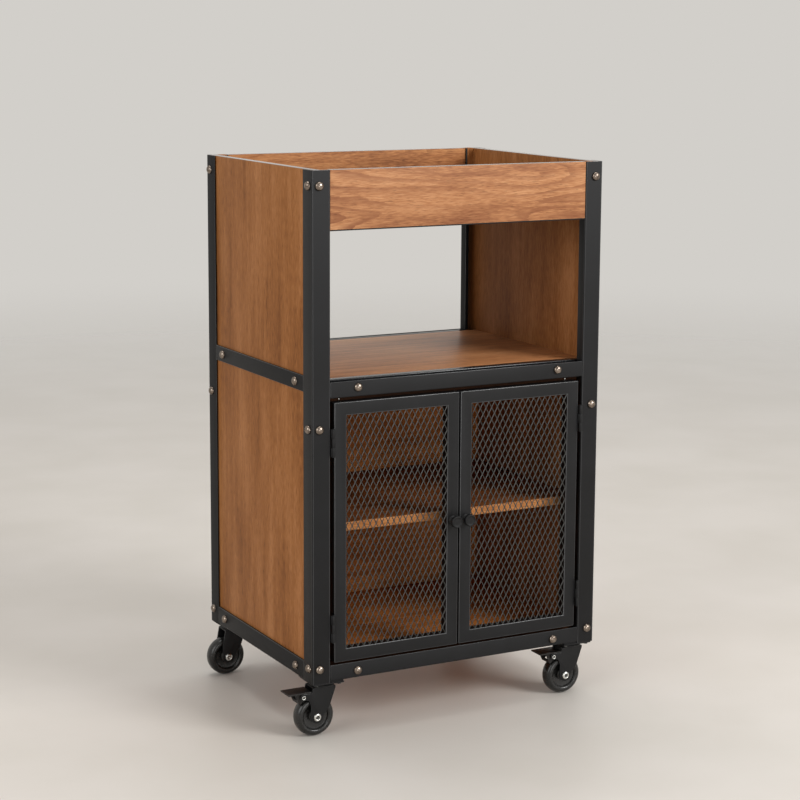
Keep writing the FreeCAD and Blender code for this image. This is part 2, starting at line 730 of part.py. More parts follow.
def make_bolts():
    """The dome-head bolts that show on the posts and on the rails."""
    edge_length = long_bolt_length - fit_gap
    face_length = short_bolt_length - fit_gap
    post_bolts, rail_bolts = [], []
    for end, side in CORNERS:
        sx, sy = SIDES[side], ENDS[end]
        for n, z in enumerate(corner_heights(), 1):
            x = sx * (cart_width / 2 - post_bolt_inset)
            y = sy * (cart_depth / 2 - post_bolt_inset)
            name = f"{end}_{side}_bolt_{n}"
            post_bolts.append(make_bolt(f"{name}_edge", "y", -sy, x, sy * cart_depth / 2, z, edge_length))
            post_bolts.append(make_bolt(f"{name}_face", "x", -sx, sx * cart_width / 2, y, z, face_length))
    for end, sy in ENDS.items():
        for n, (x, _, z) in enumerate(rail_bolt_points(end), 1):
            y = sy * cart_depth / 2
            rail_bolts.append(make_bolt(f"{end}_rail_bolt_{n}", "y", -sy, x, y, z, edge_length))
    for side, sx in SIDES.items():
        for n, (_, y, z) in enumerate(side_rail_bolt_points(side), 1):
            x = sx * cart_width / 2
            rail_bolts.append(make_bolt(f"{side}_rail_bolt_{n}", "x", -sx, x, y, z, face_length))
    d.keep(d.group("post_bolt_group", post_bolts), "post_bolts")
    d.keep(d.group("rail_bolt_group", rail_bolts), "rail_bolts")


def stretcher_screw_points():
    y = front_face + stretcher_near
    z = stretcher_top - stretcher_height + screw_rise
    return [(sign * (cart_width / 2 - screw_inset), y, z) for sign in (-1, 1)]


def make_stretcher_screws():
    """Two small pan-head screws low in the front stretcher, seen above the doors' outer corners."""
    outline = [
        (0, -screw_head_height),
        (screw_head_radius - screw_head_height / 2, -screw_head_height),
        (screw_head_radius, 0),
        (screw_radius, 0),
        (screw_radius, screw_length - fit_gap),
        (0, screw_length - fit_gap),
    ]
    points = stretcher_screw_points()
    screws = [d.turned(f"stretcher_screw_{n}", outline, "y", point) for n, point in enumerate(points, 1)]
    d.keep(d.group("stretcher_screw_group", screws), "stretcher_screws")


def ring(x, z, inset):
    """A rectangle inside the spans x and z, as a loop."""
    return [
        (x[0] + inset, z[0] + inset),
        (x[1] - inset, z[0] + inset),
        (x[1] - inset, z[1] - inset),
        (x[0] + inset, z[1] - inset),
    ]


def make_door_frame(side):
    """A welded rectangle of square steel tube."""
    node = f"{side}_door_frame"
    x, z = mirrored(SIDES[side], door_inner, door_outer), (door_bottom, door_top)
    loops = [ring(x, z, 0), ring(x, z, door_member)]
    body = d.prism(f"{node}_bar", "XZ_Plane", loops, (0, door_back, 0), door_depth)
    hollow = [ring(x, z, door_tube_wall), ring(x, z, door_member - door_tube_wall)]
    start = (0, door_back - door_tube_wall, 0)
    core = d.prism(f"{node}_hollow", "XZ_Plane", hollow, start, door_depth - door_tube_wall * 2)
    d.keep(d.bored(f"{node}_tube", body, [core]), node)


def clipped(polygon, low_x, high_x, low_z, high_z):
    """The part of a polygon inside a rectangle."""
    for axis, limit, keep_above in ((0, low_x, True), (0, high_x, False), (1, low_z, True), (1, high_z, False)):
        result = []
        for number, point in enumerate(polygon):
            before = polygon[number - 1]
            inside = point[axis] >= limit if keep_above else point[axis] <= limit
            inside_before = before[axis] >= limit if keep_above else before[axis] <= limit
            if inside != inside_before:
                share = (limit - before[axis]) / (point[axis] - before[axis])
                result.append(tuple(before[i] + share * (point[i] - before[i]) for i in (0, 1)))
            if inside:
                result.append(point)
        polygon = result
    return polygon


def polygon_area(polygon):
    following = polygon[1:] + polygon[:1]
    return abs(sum(a[0] * b[1] - b[0] * a[1] for a, b in zip(polygon, following))) / 2


def polygon_wire(polygon, y):
    points = [FreeCAD.Vector(x, y, z) for x, z in polygon]
    return Part.makePolygon(points + points[:1])


def make_door_mesh(side):
    """Flat expanded metal: upright diamonds in staggered rows, welded inside the door's opening."""
    node = f"{side}_door_mesh"
    opening = mirrored(SIDES[side], door_inner + door_member, door_outer - door_member)
    low_x, high_x = (float(v) for v in opening)
    low_z, high_z = float(door_bottom + door_member), float(door_top - door_member)
    gap, border = float(mesh_gap), float(mesh_border)
    low_x, high_x, low_z, high_z = low_x + gap, high_x - gap, low_z + gap, high_z - gap
    across = (high_x - low_x) / round((high_x - low_x) / float(mesh_pitch_across))
    up = (high_z - low_z) / round((high_z - low_z) / float(mesh_pitch_up))
    flank = math.hypot(across, up) / 2
    shrink = 1 - float(mesh_strand) * flank / (across * up / 2)
    half_x, half_z = across / 2 * shrink, up / 2 * shrink
    smallest_hole = across * up / SMALLEST_HOLE_SHARE
    y = float(front_face + mesh_setback)
    rectangle = [(low_x, low_z), (high_x, low_z), (high_x, high_z), (low_x, high_z)]
    wires = [polygon_wire(rectangle, y)]
    for row in range(2 * round((high_z - low_z) / up) + 1):
        for column in range(round((high_x - low_x) / across) + 1):
            x = low_x + across * (column + 0.5 * (row % 2))
            z = low_z + up / 2 * row
            diamond = [(x - half_x, z), (x, z - half_z), (x + half_x, z), (x, z + half_z)]
            hole = clipped(diamond, low_x + border, high_x - border, low_z + border, high_z - border)
            if len(hole) > 2 and polygon_area(hole) > smallest_hole:
                wires.append(polygon_wire(hole, y))
    sheet = Part.Face(wires, "Part::FaceMakerBullseye")
    item = d.doc.addObject("Part::Feature", f"{node}_sheet")
    item.Shape = sheet.extrude(FreeCAD.Vector(0, float(mesh_thickness), 0))
    d.keep(item, node)


def make_knob(side):
    """A round knob on a rose, turned in one piece, on the door's meeting stile."""
    outline = [
        (0, 0),
        (knob_rose_radius, 0),
        (knob_rose_radius, knob_rose_edge),
        (knob_rose_radius - knob_rose_bevel, knob_rose_edge + knob_rose_bevel),
        (knob_neck_radius, knob_neck_start),
        (knob_neck_radius, knob_length - knob_head_height),
        (knob_radius - knob_shoulder_inset, knob_length - knob_shoulder_height),
        (knob_radius, knob_length - knob_rim_height),
        (knob_radius, knob_length - knob_rim_edge),
        (knob_radius - knob_edge_inset, knob_length - knob_face_bevel),
        (knob_radius - knob_face_inset, knob_length),
        (0, knob_length),
    ]
    node = f"{side}_knob"
    flipped = [(r, -h) for r, h in outline]
    centre = (SIDES[side] * knob_inset, front_face, base + knob_rise)
    d.keep(d.turned(f"{node}_turning", flipped, "y", centre), node)


def hinge_levels():
    return {"low": door_bottom + hinge_foot_inset, "high": door_top - hinge_top_inset}


def knuckle_spans(middle):
    """Heights of the two outer knuckles and of the one between them."""
    third = hinge_height / 6
    low = (middle - hinge_height / 2, middle - third - hinge_end_gap / 2)
    inner = (middle - third + hinge_end_gap / 2, middle + third - hinge_end_gap / 2)
    high = (middle + third + hinge_end_gap / 2, middle + hinge_height / 2)
    return low, inner, high


def make_leaf(name, side, middle, on_post):
    """One leaf of a butt hinge with its knuckles: two on the post's leaf, one on the door's."""
    sign = SIDES[side]
    if on_post:
        plate_x = mirrored(sign, lip_face - hinge_leaf, lip_face)
    else:
        plate_x = mirrored(sign, door_outer, door_outer + hinge_leaf)
    low, inner, high = knuckle_spans(middle)
    own = (low, high) if on_post else (inner,)
    plate_y = (front_face, front_face + hinge_leaf_depth)
    pieces = [d.block(f"{name}_plate", plate_x, plate_y, span(middle, hinge_height / 2))]
    bores = []
    gap = press_gap if on_post else hinge_running_gap
    for n, (z_low, z_high) in enumerate(own, 1):
        pieces.append(d.block(f"{name}_web_{n}", plate_x, (hinge_y, front_face), (z_low, z_high)))
        start = (sign * hinge_x, hinge_y, z_low)
        pieces.append(d.rod(f"{name}_knuckle_{n}", "z", start, hinge_barrel_radius, z_high - z_low))
        bores.append(d.rod(f"{name}_bore_{n}", "z", start, hinge_pin_radius + gap, z_high - z_low))
    return d.bored(name, d.join(f"{name}_blank", pieces), bores)


def make_hinges():
    """Two butt hinges per door, with their pins held in the posts' leaves."""
    post_leaves, pins = [], []
    for side, sign in SIDES.items():
        door_leaves = []
        for level, middle in hinge_levels().items():
            name = f"{side}_{level}_hinge"
            post_leaves.append(make_leaf(f"{name}_post_leaf", side, middle, True))
            door_leaves.append(make_leaf(f"{name}_door_leaf", side, middle, False))
            low = middle - hinge_height / 2
            x = sign * hinge_x
            head_radius = hinge_barrel_radius - hinge_pin_head_inset
            heads = [
                d.rod(f"{name}_pin_{word}", "z", (x, hinge_y, z), head_radius, hinge_pin_head)
                for word, z in (("foot", low - hinge_pin_head), ("head", low + hinge_height))
            ]
            shank = d.rod(f"{name}_pin_shank", "z", (x, hinge_y, low), hinge_pin_radius, hinge_height)
            pins.append(d.join(f"{name}_pin", [shank] + heads))
        d.keep(d.group(f"{side}_door_leaf_group", door_leaves), f"{side}_door_hinge_leaves")
    d.keep(d.group("post_leaf_group", post_leaves), "post_hinge_leaves")
    d.keep(d.group("hinge_pin_group", pins), "hinge_pins")


def make_catch():
    """The magnetic catch under the front stretcher, behind the middle of the doors."""
    y = (door_back + fit_gap, door_back + fit_gap + catch_depth)
    top = stretcher_top - stretcher_height
    x = span(Size.of(0), catch_width / 2)
    d.keep(d.block("catch_block", x, y, (top - catch_height, top)), "door_catch")


def caster_centre(end, side):
    return SIDES[side] * (cart_width / 2 - caster_inset_x), ENDS[end] * (cart_depth / 2 - caster_inset_y)


def caster_bolt_points(end, side):
    x, y = caster_centre(end, side)
    half = caster_bolt_spacing / 2
    return [(x + sx * half, y + sy * half) for sx in (-1, 1) for sy in (-1, 1)]


def caster_bolt_holes(tag, end, side, low, height):
    radius = caster_bolt_radius + bolt_clearance
    return [
        d.rod(f"{tag}_bolt_hole_{n}", "z", (x, y, low), radius, height)
        for n, (x, y) in enumerate(caster_bolt_points(end, side), 1)
    ]


def make_caster_plates():
    """Top plates of the casters, each with its bearing race and the kingpin riveted through it."""
    plates, bolts = [], []
    for end, side in CORNERS:
        tag = f"{end}_{side}_caster"
        x, y = caster_centre(end, side)
        half = caster_plate_side / 2
        low = base - caster_plate_thickness
        plate = d.block(f"{tag}_plate_blank", span(x, half), span(y, half), (low, base))
        bored = d.bored(
            f"{tag}_plate_bored",
            plate,
            caster_bolt_holes(f"{tag}_plate", end, side, low, caster_plate_thickness),
        )
        race = d.rod(f"{tag}_race", "z", (x, y, race_low), race_radius, race_height)
        kingpin = d.rod(f"{tag}_kingpin", "z", (x, y, kingpin_low), kingpin_radius, race_low - kingpin_low)
        head = d.rod(f"{tag}_kingpin_head", "z", (x, y, kingpin_low), kingpin_head_radius, kingpin_head_height)
        plates.append(d.join(f"{tag}_plate", [bored, race, kingpin, head]))
        shank = caster_plate_thickness + foot_plate_thickness - fit_gap
        head_low = low - caster_bolt_head_height
        for n, (bx, by) in enumerate(caster_bolt_points(end, side), 1):
            parts = [
                d.rod(f"{tag}_bolt_{n}_shank", "z", (bx, by, low), caster_bolt_radius, shank),
                d.hexagon(
                    f"{tag}_bolt_{n}_head",
                    "z",
                    (bx, by, head_low),
                    caster_bolt_head_radius,
                    caster_bolt_head_height,
                ),
            ]
            bolts.append(d.join(f"{tag}_bolt_{n}", parts))
    d.keep(d.group("caster_plate_group", plates), "caster_plates")
    d.keep(d.group("caster_bolt_group", bolts), "caster_bolts")


def make_fork(end, side):
    """The swivelling fork: crown, top plate and two cheeks that reach back to the trailing axle."""
    node = f"{end}_{side}_caster_fork"
    x, y = caster_centre(end, side)
    braked = end == "front"
    axle_x = -wheel_trail
    drop = axle_level - base
    top = fork_top - base
    pin_x, pin_z = -brake_pin_back, -brake_pin_drop
    cheek = [
        (fork_front, top),
        (fork_front, top - fork_shoulder_drop),
        (axle_x + fork_boss_radius + fork_front_swell, drop + fork_front_waist),
        (axle_x + fork_boss_radius, drop),
        (axle_x - fork_boss_radius, drop),
        (axle_x - fork_boss_radius, drop + fork_back_waist),
    ]
    if braked:
        cheek += [
            (axle_x - fork_boss_radius - fork_arch_run, pin_z - fork_arch_drop),
            (pin_x + brake_boss_radius / 2, pin_z - brake_boss_radius + brake_ear_foot),
            (pin_x, pin_z + brake_boss_radius - brake_ear_lap),
            (pin_x + brake_ear_run, pin_z + brake_boss_radius - brake_ear_lap),
            (-fork_back - brake_arm_run, top - brake_arm_drop),
        ]
    cheek.append((-fork_back, top))
    pieces = [
        d.rod(f"{node}_crown", "z", (x, y, fork_top), crown_radius, crown_height),
        d.block(
            f"{node}_top",
            (x - fork_back, x + fork_front),
            span(y, fork_outside),
            (fork_plate_low, fork_top),
        ),
    ]
    for n, far in enumerate((y - fork_inside, y + fork_outside), 1):
        pieces.append(d.prism(f"{node}_cheek_{n}", "XZ_Plane", [cheek], (x, far, base), fork_wall))
        near = far - fork_wall
        boss = (x + axle_x, near, axle_level)
        pieces.append(d.rod(f"{node}_boss_{n}", "y", boss, fork_boss_radius, fork_wall))
        if braked:
            ear = (x + pin_x, near, base + pin_z)
            pieces.append(d.rod(f"{node}_ear_{n}", "y", ear, brake_boss_radius, fork_wall))
    length = fork_outside * 2
    kingpin_bore, axle_bore = kingpin_radius + running_gap, axle_radius + running_gap
    start = (x + axle_x, y - fork_outside, axle_level)
    bores = [
        d.rod(f"{node}_kingpin_bore", "z", (x, y, fork_plate_low), kingpin_bore, crown_top - fork_plate_low),
        d.rod(f"{node}_axle_bore", "y", start, axle_bore, length),
    ]
    if braked:
        start = (x + pin_x, y - fork_outside, base + pin_z)
        bores.append(d.rod(f"{node}_pin_bore", "y", start, brake_pin_radius + running_gap, length))
    d.keep(d.bored(f"{node}_bored", d.join(f"{node}_blank", pieces), bores), node)


def make_wheel(end, side):
    """A moulded wheel with a crowned tread, dished sides and a hub that fills the fork."""
    x, y = caster_centre(end, side)
    half = wheel_width / 2
    hub = fork_inside - swivel_gap
    bore = axle_radius + running_gap
    flank = [
        (bore, hub),
        (hub_radius, hub),
        (hub_radius + hub_flare, half - hub_step),
        (wheel_radius - dish_inset, half - dish_depth),
        (wheel_radius - wall_inset, half - wall_step),
        (wheel_radius - wall_top_inset, half),
        (wheel_radius - shoulder_inset, half - shoulder_step),
        (wheel_radius - crown_edge_inset, half - crown_edge_step),
        (wheel_radius, half - tread_step),
    ]
    outline = flank + [(r, -h) for r, h in reversed(flank)]
    node = f"{end}_{side}_wheel"
    d.keep(d.turned(f"{node}_turning", outline, "y", (x - wheel_trail, y, axle_level)), node)


def make_axle(end, side):
    """The axle bolt and its nut and, on a front caster, the rivet that the brake lever turns on."""
    x, y = caster_centre(end, side)
    axle_x = x - wheel_trail
    tag = f"{end}_{side}_axle"
    near, far = y - fork_outside, y + fork_outside
    shank_length = fork_outside * 2 + axle_nut_height + axle_end
    outline = [
        (0, -axle_head_height),
        (axle_head_radius - axle_head_face_inset, -axle_head_height),
        (axle_head_radius - axle_head_edge_inset, axle_head_edge_drop - axle_head_height),
        (axle_head_radius, 0),
        (axle_radius, 0),
        (axle_radius, shank_length),
        (0, shank_length),
    ]
    bolt = d.turned(f"{tag}_bolt", outline, "y", (axle_x, near, axle_level))
    seat = (axle_x, far, axle_level)
    nut_blank = d.hexagon(f"{tag}_nut_blank", "y", seat, axle_nut_corner, axle_nut_height)
    nut_bore = d.rod(f"{tag}_nut_bore", "y", seat, axle_radius + press_gap, axle_nut_height)
    pieces = [bolt, d.bored(f"{tag}_nut", nut_blank, [nut_bore])]
    if end == "front":
        point = (x - brake_pin_back, near, base - brake_pin_drop)
        low_head = (point[0], near - brake_pin_head_height, point[2])
        high_head = (point[0], far, point[2])
        pieces.append(
            d.join(
                f"{tag}_brake_rivet",
                [
                    d.rod(f"{tag}_rivet_shank", "y", point, brake_pin_radius, fork_outside * 2),
                    d.rod(f"{tag}_rivet_head", "y", low_head, brake_pin_head_radius, brake_pin_head_height),
                    d.rod(f"{tag}_rivet_tail", "y", high_head, brake_pin_head_radius, brake_pin_head_height),
                ],
            )
        )
    d.keep(d.group(f"{tag}_group", pieces), tag)


def make_brake_lever(side):
    """A pressed pedal with two tabs on the rivet and a pad that swings towards the tread."""
    node = f"front_{side}_brake_lever"
    x, y = caster_centre("front", side)
    pin_x, pin_z = x - brake_pin_back, base - brake_pin_drop
    pedal_low = brake_boss_radius + lever_rise
    tab_outside = fork_inside - lever_side_gap
    pedal = d.block(
        f"{node}_pedal",
        (pin_x - lever_reach, pin_x + lever_heel),
        span(y, fork_outside),
        (pin_z + pedal_low, pin_z + pedal_low + lever_wall),
    )
    tab = [
        (-lever_skirt, pedal_low),
        (brake_boss_radius, pedal_low),
        (brake_boss_radius, 0),
        (lever_toe, -lever_toe_drop),
        (-brake_pad_back, -brake_pad_drop),
        (-brake_pad_back - brake_pad_thickness, -brake_pad_drop),
    ]
    tabs = [
        d.prism(f"{node}_tab_{n}", "XZ_Plane", [tab], (pin_x, far, pin_z), lever_tab)
        for n, far in enumerate((y + tab_outside, y - tab_outside + lever_tab), 1)
    ]
    pad_x = (pin_x - brake_pad_back - brake_pad_thickness, pin_x - brake_pad_back)
    pad_z = (pin_z - brake_pad_drop, pin_z - brake_pad_drop + brake_pad_height)
    pad = d.block(f"{node}_pad", pad_x, span(y, tab_outside), pad_z)
    start = (pin_x, y - fork_outside, pin_z)
    bore = d.rod(f"{node}_bore", "y", start, brake_pin_radius + running_gap, fork_outside * 2)
    d.keep(d.bored(f"{node}_bored", d.join(f"{node}_blank", [pedal, pad] + tabs), [bore]), node)


def write_parts():
    """Rebuilds the document, checks every object, and writes one STEP file per node."""
    d.doc.recompute()
    for item in d.doc.Objects:
        if "Invalid" in item.State or "Error" in item.State:
            raise RuntimeError(f"{item.Label} has state {item.State}")
    os.makedirs(PARTS_FOLDER, exist_ok=True)
    for item in d.nodes:
        if item.Shape.isNull() or not item.Shape.isValid():
            raise RuntimeError(f"{item.Label} has no valid shape")
    for item in d.nodes:
        item.Shape.exportStep(f"{PARTS_FOLDER}/{item.Label}.step")


for corner_end, corner_side in CORNERS:
    make_post(corner_end, corner_side)
    make_fork(corner_end, corner_side)
    make_wheel(corner_end, corner_side)
    make_axle(corner_end, corner_side)
make_foot_plates()
make_caster_plates()
for each_side in SIDES:
    make_side_panel(each_side)
    make_side_rails(each_side)
    make_door_frame(each_side)
    make_door_mesh(each_side)
    make_knob(each_side)
    make_brake_lever(each_side)
for each_end in ENDS:
    make_end_rails(each_end)
    make_stretchers(each_end)
    make_shelf_trim(each_end)
make_boards()
make_shelf_pins()
make_tray()
make_bolts()
make_stretcher_screws()
make_hinges()
make_catch()
write_parts()
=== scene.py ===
"""Microwave cart: powder-coated steel angle, stained walnut boards, expanded-metal doors and swivel casters.

Every length in the dataclasses is in millimetres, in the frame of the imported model: +X to the right seen from the
doors, -Y towards the door side, +Z up, and the origin in the middle of the microwave shelf's top face. Where a
length is in metres, as Blender has it, its description says so.
"""

import json
import logging
import math
from dataclasses import dataclass
from enum import Enum
from functools import cache
from itertools import product
from typing import Callable

import bmesh
import bpy
from mathutils import Matrix, Vector

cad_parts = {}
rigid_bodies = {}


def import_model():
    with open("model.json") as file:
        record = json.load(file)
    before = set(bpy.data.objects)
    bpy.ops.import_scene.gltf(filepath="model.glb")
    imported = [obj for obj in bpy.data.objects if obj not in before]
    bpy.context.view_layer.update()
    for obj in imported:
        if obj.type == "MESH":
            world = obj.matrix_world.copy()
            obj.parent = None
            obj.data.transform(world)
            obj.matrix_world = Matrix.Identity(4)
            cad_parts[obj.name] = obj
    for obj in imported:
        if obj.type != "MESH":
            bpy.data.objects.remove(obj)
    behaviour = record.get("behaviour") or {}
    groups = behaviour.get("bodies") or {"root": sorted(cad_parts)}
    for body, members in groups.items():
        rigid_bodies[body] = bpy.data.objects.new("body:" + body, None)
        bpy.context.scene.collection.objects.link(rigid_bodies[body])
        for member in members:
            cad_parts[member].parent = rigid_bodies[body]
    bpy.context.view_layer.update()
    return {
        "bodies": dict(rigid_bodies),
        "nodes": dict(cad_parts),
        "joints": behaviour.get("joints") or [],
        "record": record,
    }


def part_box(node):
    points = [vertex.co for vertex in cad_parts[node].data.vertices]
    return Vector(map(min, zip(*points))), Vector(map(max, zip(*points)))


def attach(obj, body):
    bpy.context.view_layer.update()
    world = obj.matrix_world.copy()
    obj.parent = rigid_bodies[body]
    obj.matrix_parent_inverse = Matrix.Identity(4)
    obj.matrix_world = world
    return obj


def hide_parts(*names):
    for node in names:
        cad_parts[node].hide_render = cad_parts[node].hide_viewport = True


MM = 0.001
# How squarely a normal or an edge has to lie along an axis to be picked.
FACING = 0.9
# How close to a line a middle has to be, in metres, to lie on it.
NEAR = 1e-5
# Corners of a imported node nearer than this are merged, in metres, and faces turned less than this become one.
MERGED, FLAT = 0.01 * MM, math.radians(1)
UP = Vector((0, 0, 1))
FORWARDS = Vector((0, -1, 0))
# Settings of the commonest nodes, and the numbers of a colour mix's two colour sockets.
MULTIPLY = {"operation": "MULTIPLY"}
MULTIPLY_ADD = {"operation": "MULTIPLY_ADD"}
SMOOTH = {"interpolation_type": "SMOOTHSTEP"}
COLOURS = {"data_type": "RGBA"}
FIRST, SECOND = 6, 7
LOG = logging.getLogger("microwave_cart")
Test = Callable[[Vector, Vector], bool]
Profile = list[tuple[float, float]]
Sockets = dict[str | int, object]


class Place(Enum):
    """A place on the cart, worded as in the names of the nodes."""

    @property
    def word(self) -> str:
        """The word that the node names use."""
        return self.name.lower()


class Side(Place):
    """Left and right, as seen from the doors."""

    LEFT = -1
    RIGHT = 1


class End(Place):
    """Front, where the doors are, and rear."""

    FRONT = -1
    REAR = 1


class Grain(Enum):
    """How a board's grain runs, as the turn that lays it along the pattern."""

    LEVEL = (0.0, 0.0, 0.0)
    UPRIGHT = (0.0, math.pi / 2, 0.0)


class Pick(Enum):
    """What is picked in edit mode, as the selection mode is called."""

    FACES = "FACE"
    EDGES = "EDGE"


def linear(colour: str) -> tuple[float, float, float, float]:
    """Turns an sRGB hex colour into linear values.

    Args:
        colour: Six hex digits after a hash sign.

    Returns:
        Linear red, green, blue and an alpha of 1.
    """
    values = (int(colour[i : i + 2], 16) / 255 for i in (1, 3, 5))
    return (*(v / 12.92 if v <= 0.04045 else ((v + 0.055) / 1.055) ** 2.4 for v in values), 1.0)


def emptied(owner: bpy.types.Material | bpy.types.World) -> bpy.types.NodeTree:
    """Gives a material or world a node tree with nothing in it.

    Args:
        owner: The material or world.

    Returns:
        Its empty node tree.
    """
    owner.use_nodes = True
    owner.node_tree.nodes.clear()
    return owner.node_tree


def add(
    tree: bpy.types.NodeTree,
    kind: str,
    settings: dict | None = None,
    sockets: Sockets | None = None,
    stops: tuple[tuple[float, str], ...] = (),
) -> bpy.types.Node:
    """Adds one node to a tree with its settings, values and links.

    Args:
        tree: The node tree.
        kind: The node's type name without its ShaderNode prefix.
        settings: The node's own properties.
        sockets: Input name or number to a value, to an output socket, or to a node for its first live output.
        stops: For a colour ramp, the position and hex colour of each stop.

    Returns:
        The new node.
    """
    node = tree.nodes.new(f"ShaderNode{kind}")
    for key, value in (settings or {}).items():
        setattr(node, key, value)
    for key, value in (sockets or {}).items():
        if isinstance(value, bpy.types.Node):
            value = next(output for output in value.outputs if output.enabled)
        if isinstance(value, bpy.types.NodeSocket):
            tree.links.new(value, node.inputs[key])
        else:
            node.inputs[key].default_value = value
    for number, (position, colour) in enumerate(stops):
        elements = node.color_ramp.elements
        stop = elements[number] if number < len(elements) else elements.new(position)
        stop.position, stop.color = position, linear(colour)
    return node


@dataclass(frozen=True)
class Layer:
    """One layer of a wood figure: a noise drawn out along the grain, so many times slower than across it."""

    along: float
    width_mm: float
    detail: float
    crumble: float = 0.55

    def lay(self, tree: bpy.types.NodeTree, board: bpy.types.Node) -> bpy.types.Node:
        """Lays the layer.

        Args:
            tree: The material's node tree.
            board: The coordinates with the grain along X.

        Returns:
            The noise.
        """
        drawn = add(tree, "Mapping", sockets={"Vector": board, "Scale": (self.along, 1, 1)})
        sockets = {"Vector": drawn, "Scale": 1000 / self.width_mm, "Detail": self.detail, "Roughness": self.crumble}
        return add(tree, "TexNoise", sockets=sockets)


@dataclass(frozen=True)
class Rings:
    """Growth rings, drawn as contour lines of a slow noise: each darkens slowly and ends sharply."""

    strength: float
    width_mm: float = 8.0
    figure_mm: float = 130.0
    wobble: Layer = Layer(0.12, 9.0, 3.0)
    wobble_share: float = 0.7
    line_start: float = 0.3
    fade: Layer = Layer(0.4, 110.0, 1.0)
    fade_span: tuple[float, float] = (0.35, 0.6)
    faintest: float = 0.35

    def lay(self, tree: bpy.types.NodeTree, board: bpy.types.Node) -> bpy.types.Node:
        """Lays the ring lines.

        Args:
            tree: The material's node tree.
            board: The coordinates with the grain along X.

        Returns:
            How dark the ring line is, from 0 to the strength.
        """
        wander = Layer(0.2, self.figure_mm, 1.5).lay(tree, board)
        wobbled = add(tree, "Math", MULTIPLY, {0: self.wobble.lay(tree, board), 1: self.wobble_share})
        height = add(tree, "Math", MULTIPLY_ADD, {0: wander, 1: self.figure_mm / self.width_mm, 2: wobbled})
        saw = add(tree, "Math", {"operation": "FRACT"}, {0: height})
        line = add(tree, "MapRange", SMOOTH, {"Value": saw, "From Min": self.line_start})
        span = {"From Min": self.fade_span[0], "From Max": self.fade_span[1]}
        ends = {"To Min": self.strength * self.faintest, "To Max": self.strength}
        fade = add(tree, "MapRange", sockets={"Value": self.fade.lay(tree, board)} | span | ends)
        return add(tree, "Math", MULTIPLY, {0: line, 1: fade})


@dataclass(frozen=True)
class Finish:
    """A finish of one kind of surface; each child class says how its nodes are laid."""

    name: str

    @cache
    def material(self) -> bpy.types.Material:
        """Makes the material when it is first asked for, and gives the same one each time.

        Returns:
            The material.
        """
        made = bpy.data.materials.new(self.name)
        tree = emptied(made)
        sockets = self.dress(tree, add(tree, "TexCoord").outputs["Object"])
        add(tree, "OutputMaterial", sockets={"Surface": add(tree, "BsdfPrincipled", sockets=sockets)})
        return made

    def dress(self, tree: bpy.types.NodeTree, place: bpy.types.NodeSocket) -> Sockets:
        """Lays the finish's own nodes.

        Args:
            tree: The material's node tree.
            place: The object's own coordinates.

        Returns:
            What goes into the principled shader's sockets.
        """
        raise NotImplementedError


@dataclass(frozen=True)
class StainedWalnut(Finish):
    """Walnut-stained veneer under satin lacquer: growth rings, soft streaks and clouds, short fibres, dark pores.

    The tones run from dark to light, and the weights are those of cloud, streak and fibre.
    """

    grain: Grain
    seed: float
    tones: tuple[str, str, str]
    rings: Rings
    fibre: Layer = Layer(0.11, 2.6, 2.5)
    weights: tuple[float, float, float] = (0.55, 0.6, 0.75)
    gloss: float = 0.46
    specular: float = 0.14
    lacquer: float = 0.0
    cloud: Layer = Layer(0.2, 60.0, 2.0)
    streak: Layer = Layer(0.06, 14.0, 2.0)
    # Pores are 0.3 mm wide in the real veneer; they are drawn wide enough to show as flecks.
    pore: Layer = Layer(0.14, 1.9, 1.0)
    tone_stops: tuple[float, float, float] = (0.26, 0.5, 0.74)
    pore_span: tuple[float, float] = (0.6, 0.75)
    pore_cover: float = 0.55
    pore_burn: float = 0.45
    gloss_span: tuple[float, float] = (-0.1, 0.12)
    relief: float = 0.1
    relief_mm: float = 0.5
    lacquer_roughness: float = 0.12

    def dress(self, tree: bpy.types.NodeTree, place: bpy.types.NodeSocket) -> Sockets:
        """Lays clouds, streaks and fibres, then the ring lines and the pores.

        Args:
            tree: The material's node tree.
            place: The object's own coordinates.

        Returns:
            What goes into the principled shader's sockets.
        """
        offset = (self.seed, self.seed * 0.7, self.seed * 1.3)
        board = add(tree, "Mapping", sockets={"Vector": place, "Location": offset, "Rotation": self.grain.value})
        layers = [layer.lay(tree, board) for layer in (self.cloud, self.streak, self.fibre)]
        fibre = layers[-1]
        # The middle tone is where all the noises have their middle value.
        tone = 0.5 - sum(self.weights) / 2
        for layer, weight in zip(layers, self.weights):
            tone = add(tree, "Math", MULTIPLY_ADD, {0: layer, 1: weight, 2: tone})
        veneer = add(tree, "ValToRGB", sockets={0: tone}, stops=tuple(zip(self.tone_stops, self.tones)))
        ring = self.rings.lay(tree, board)
        ringed = add(tree, "Mix", COLOURS, {"Factor": ring, FIRST: veneer, SECOND: linear(self.tones[0])})
        span = {"From Min": self.pore_span[0], "From Max": self.pore_span[1], "To Max": self.pore_cover}
        pore = add(tree, "MapRange", sockets={"Value": self.pore.lay(tree, board)} | span)
        burnt = add(tree, "VectorMath", {"operation": "SCALE"}, {0: ringed, "Scale": self.pore_burn})
        ends = {"To Min": self.gloss + self.gloss_span[0], "To Max": self.gloss + self.gloss_span[1]}
        height = add(tree, "Math", {"operation": "SUBTRACT"}, {0: fibre, 1: pore})
        bump = {"Strength": self.relief, "Distance": self.relief_mm * MM, "Height": height}
        return {
            "Base Color": add(tree, "Mix", COLOURS, {"Factor": pore, FIRST: ringed, SECOND: burnt}),
            "Roughness": add(tree, "MapRange", sockets={"Value": fibre} | ends),
            "Normal": add(tree, "Bump", sockets=bump),
            "Specular IOR Level": self.specular,
            "Coat Weight": self.lacquer,
            "Coat Roughness": self.lacquer_roughness,
        }


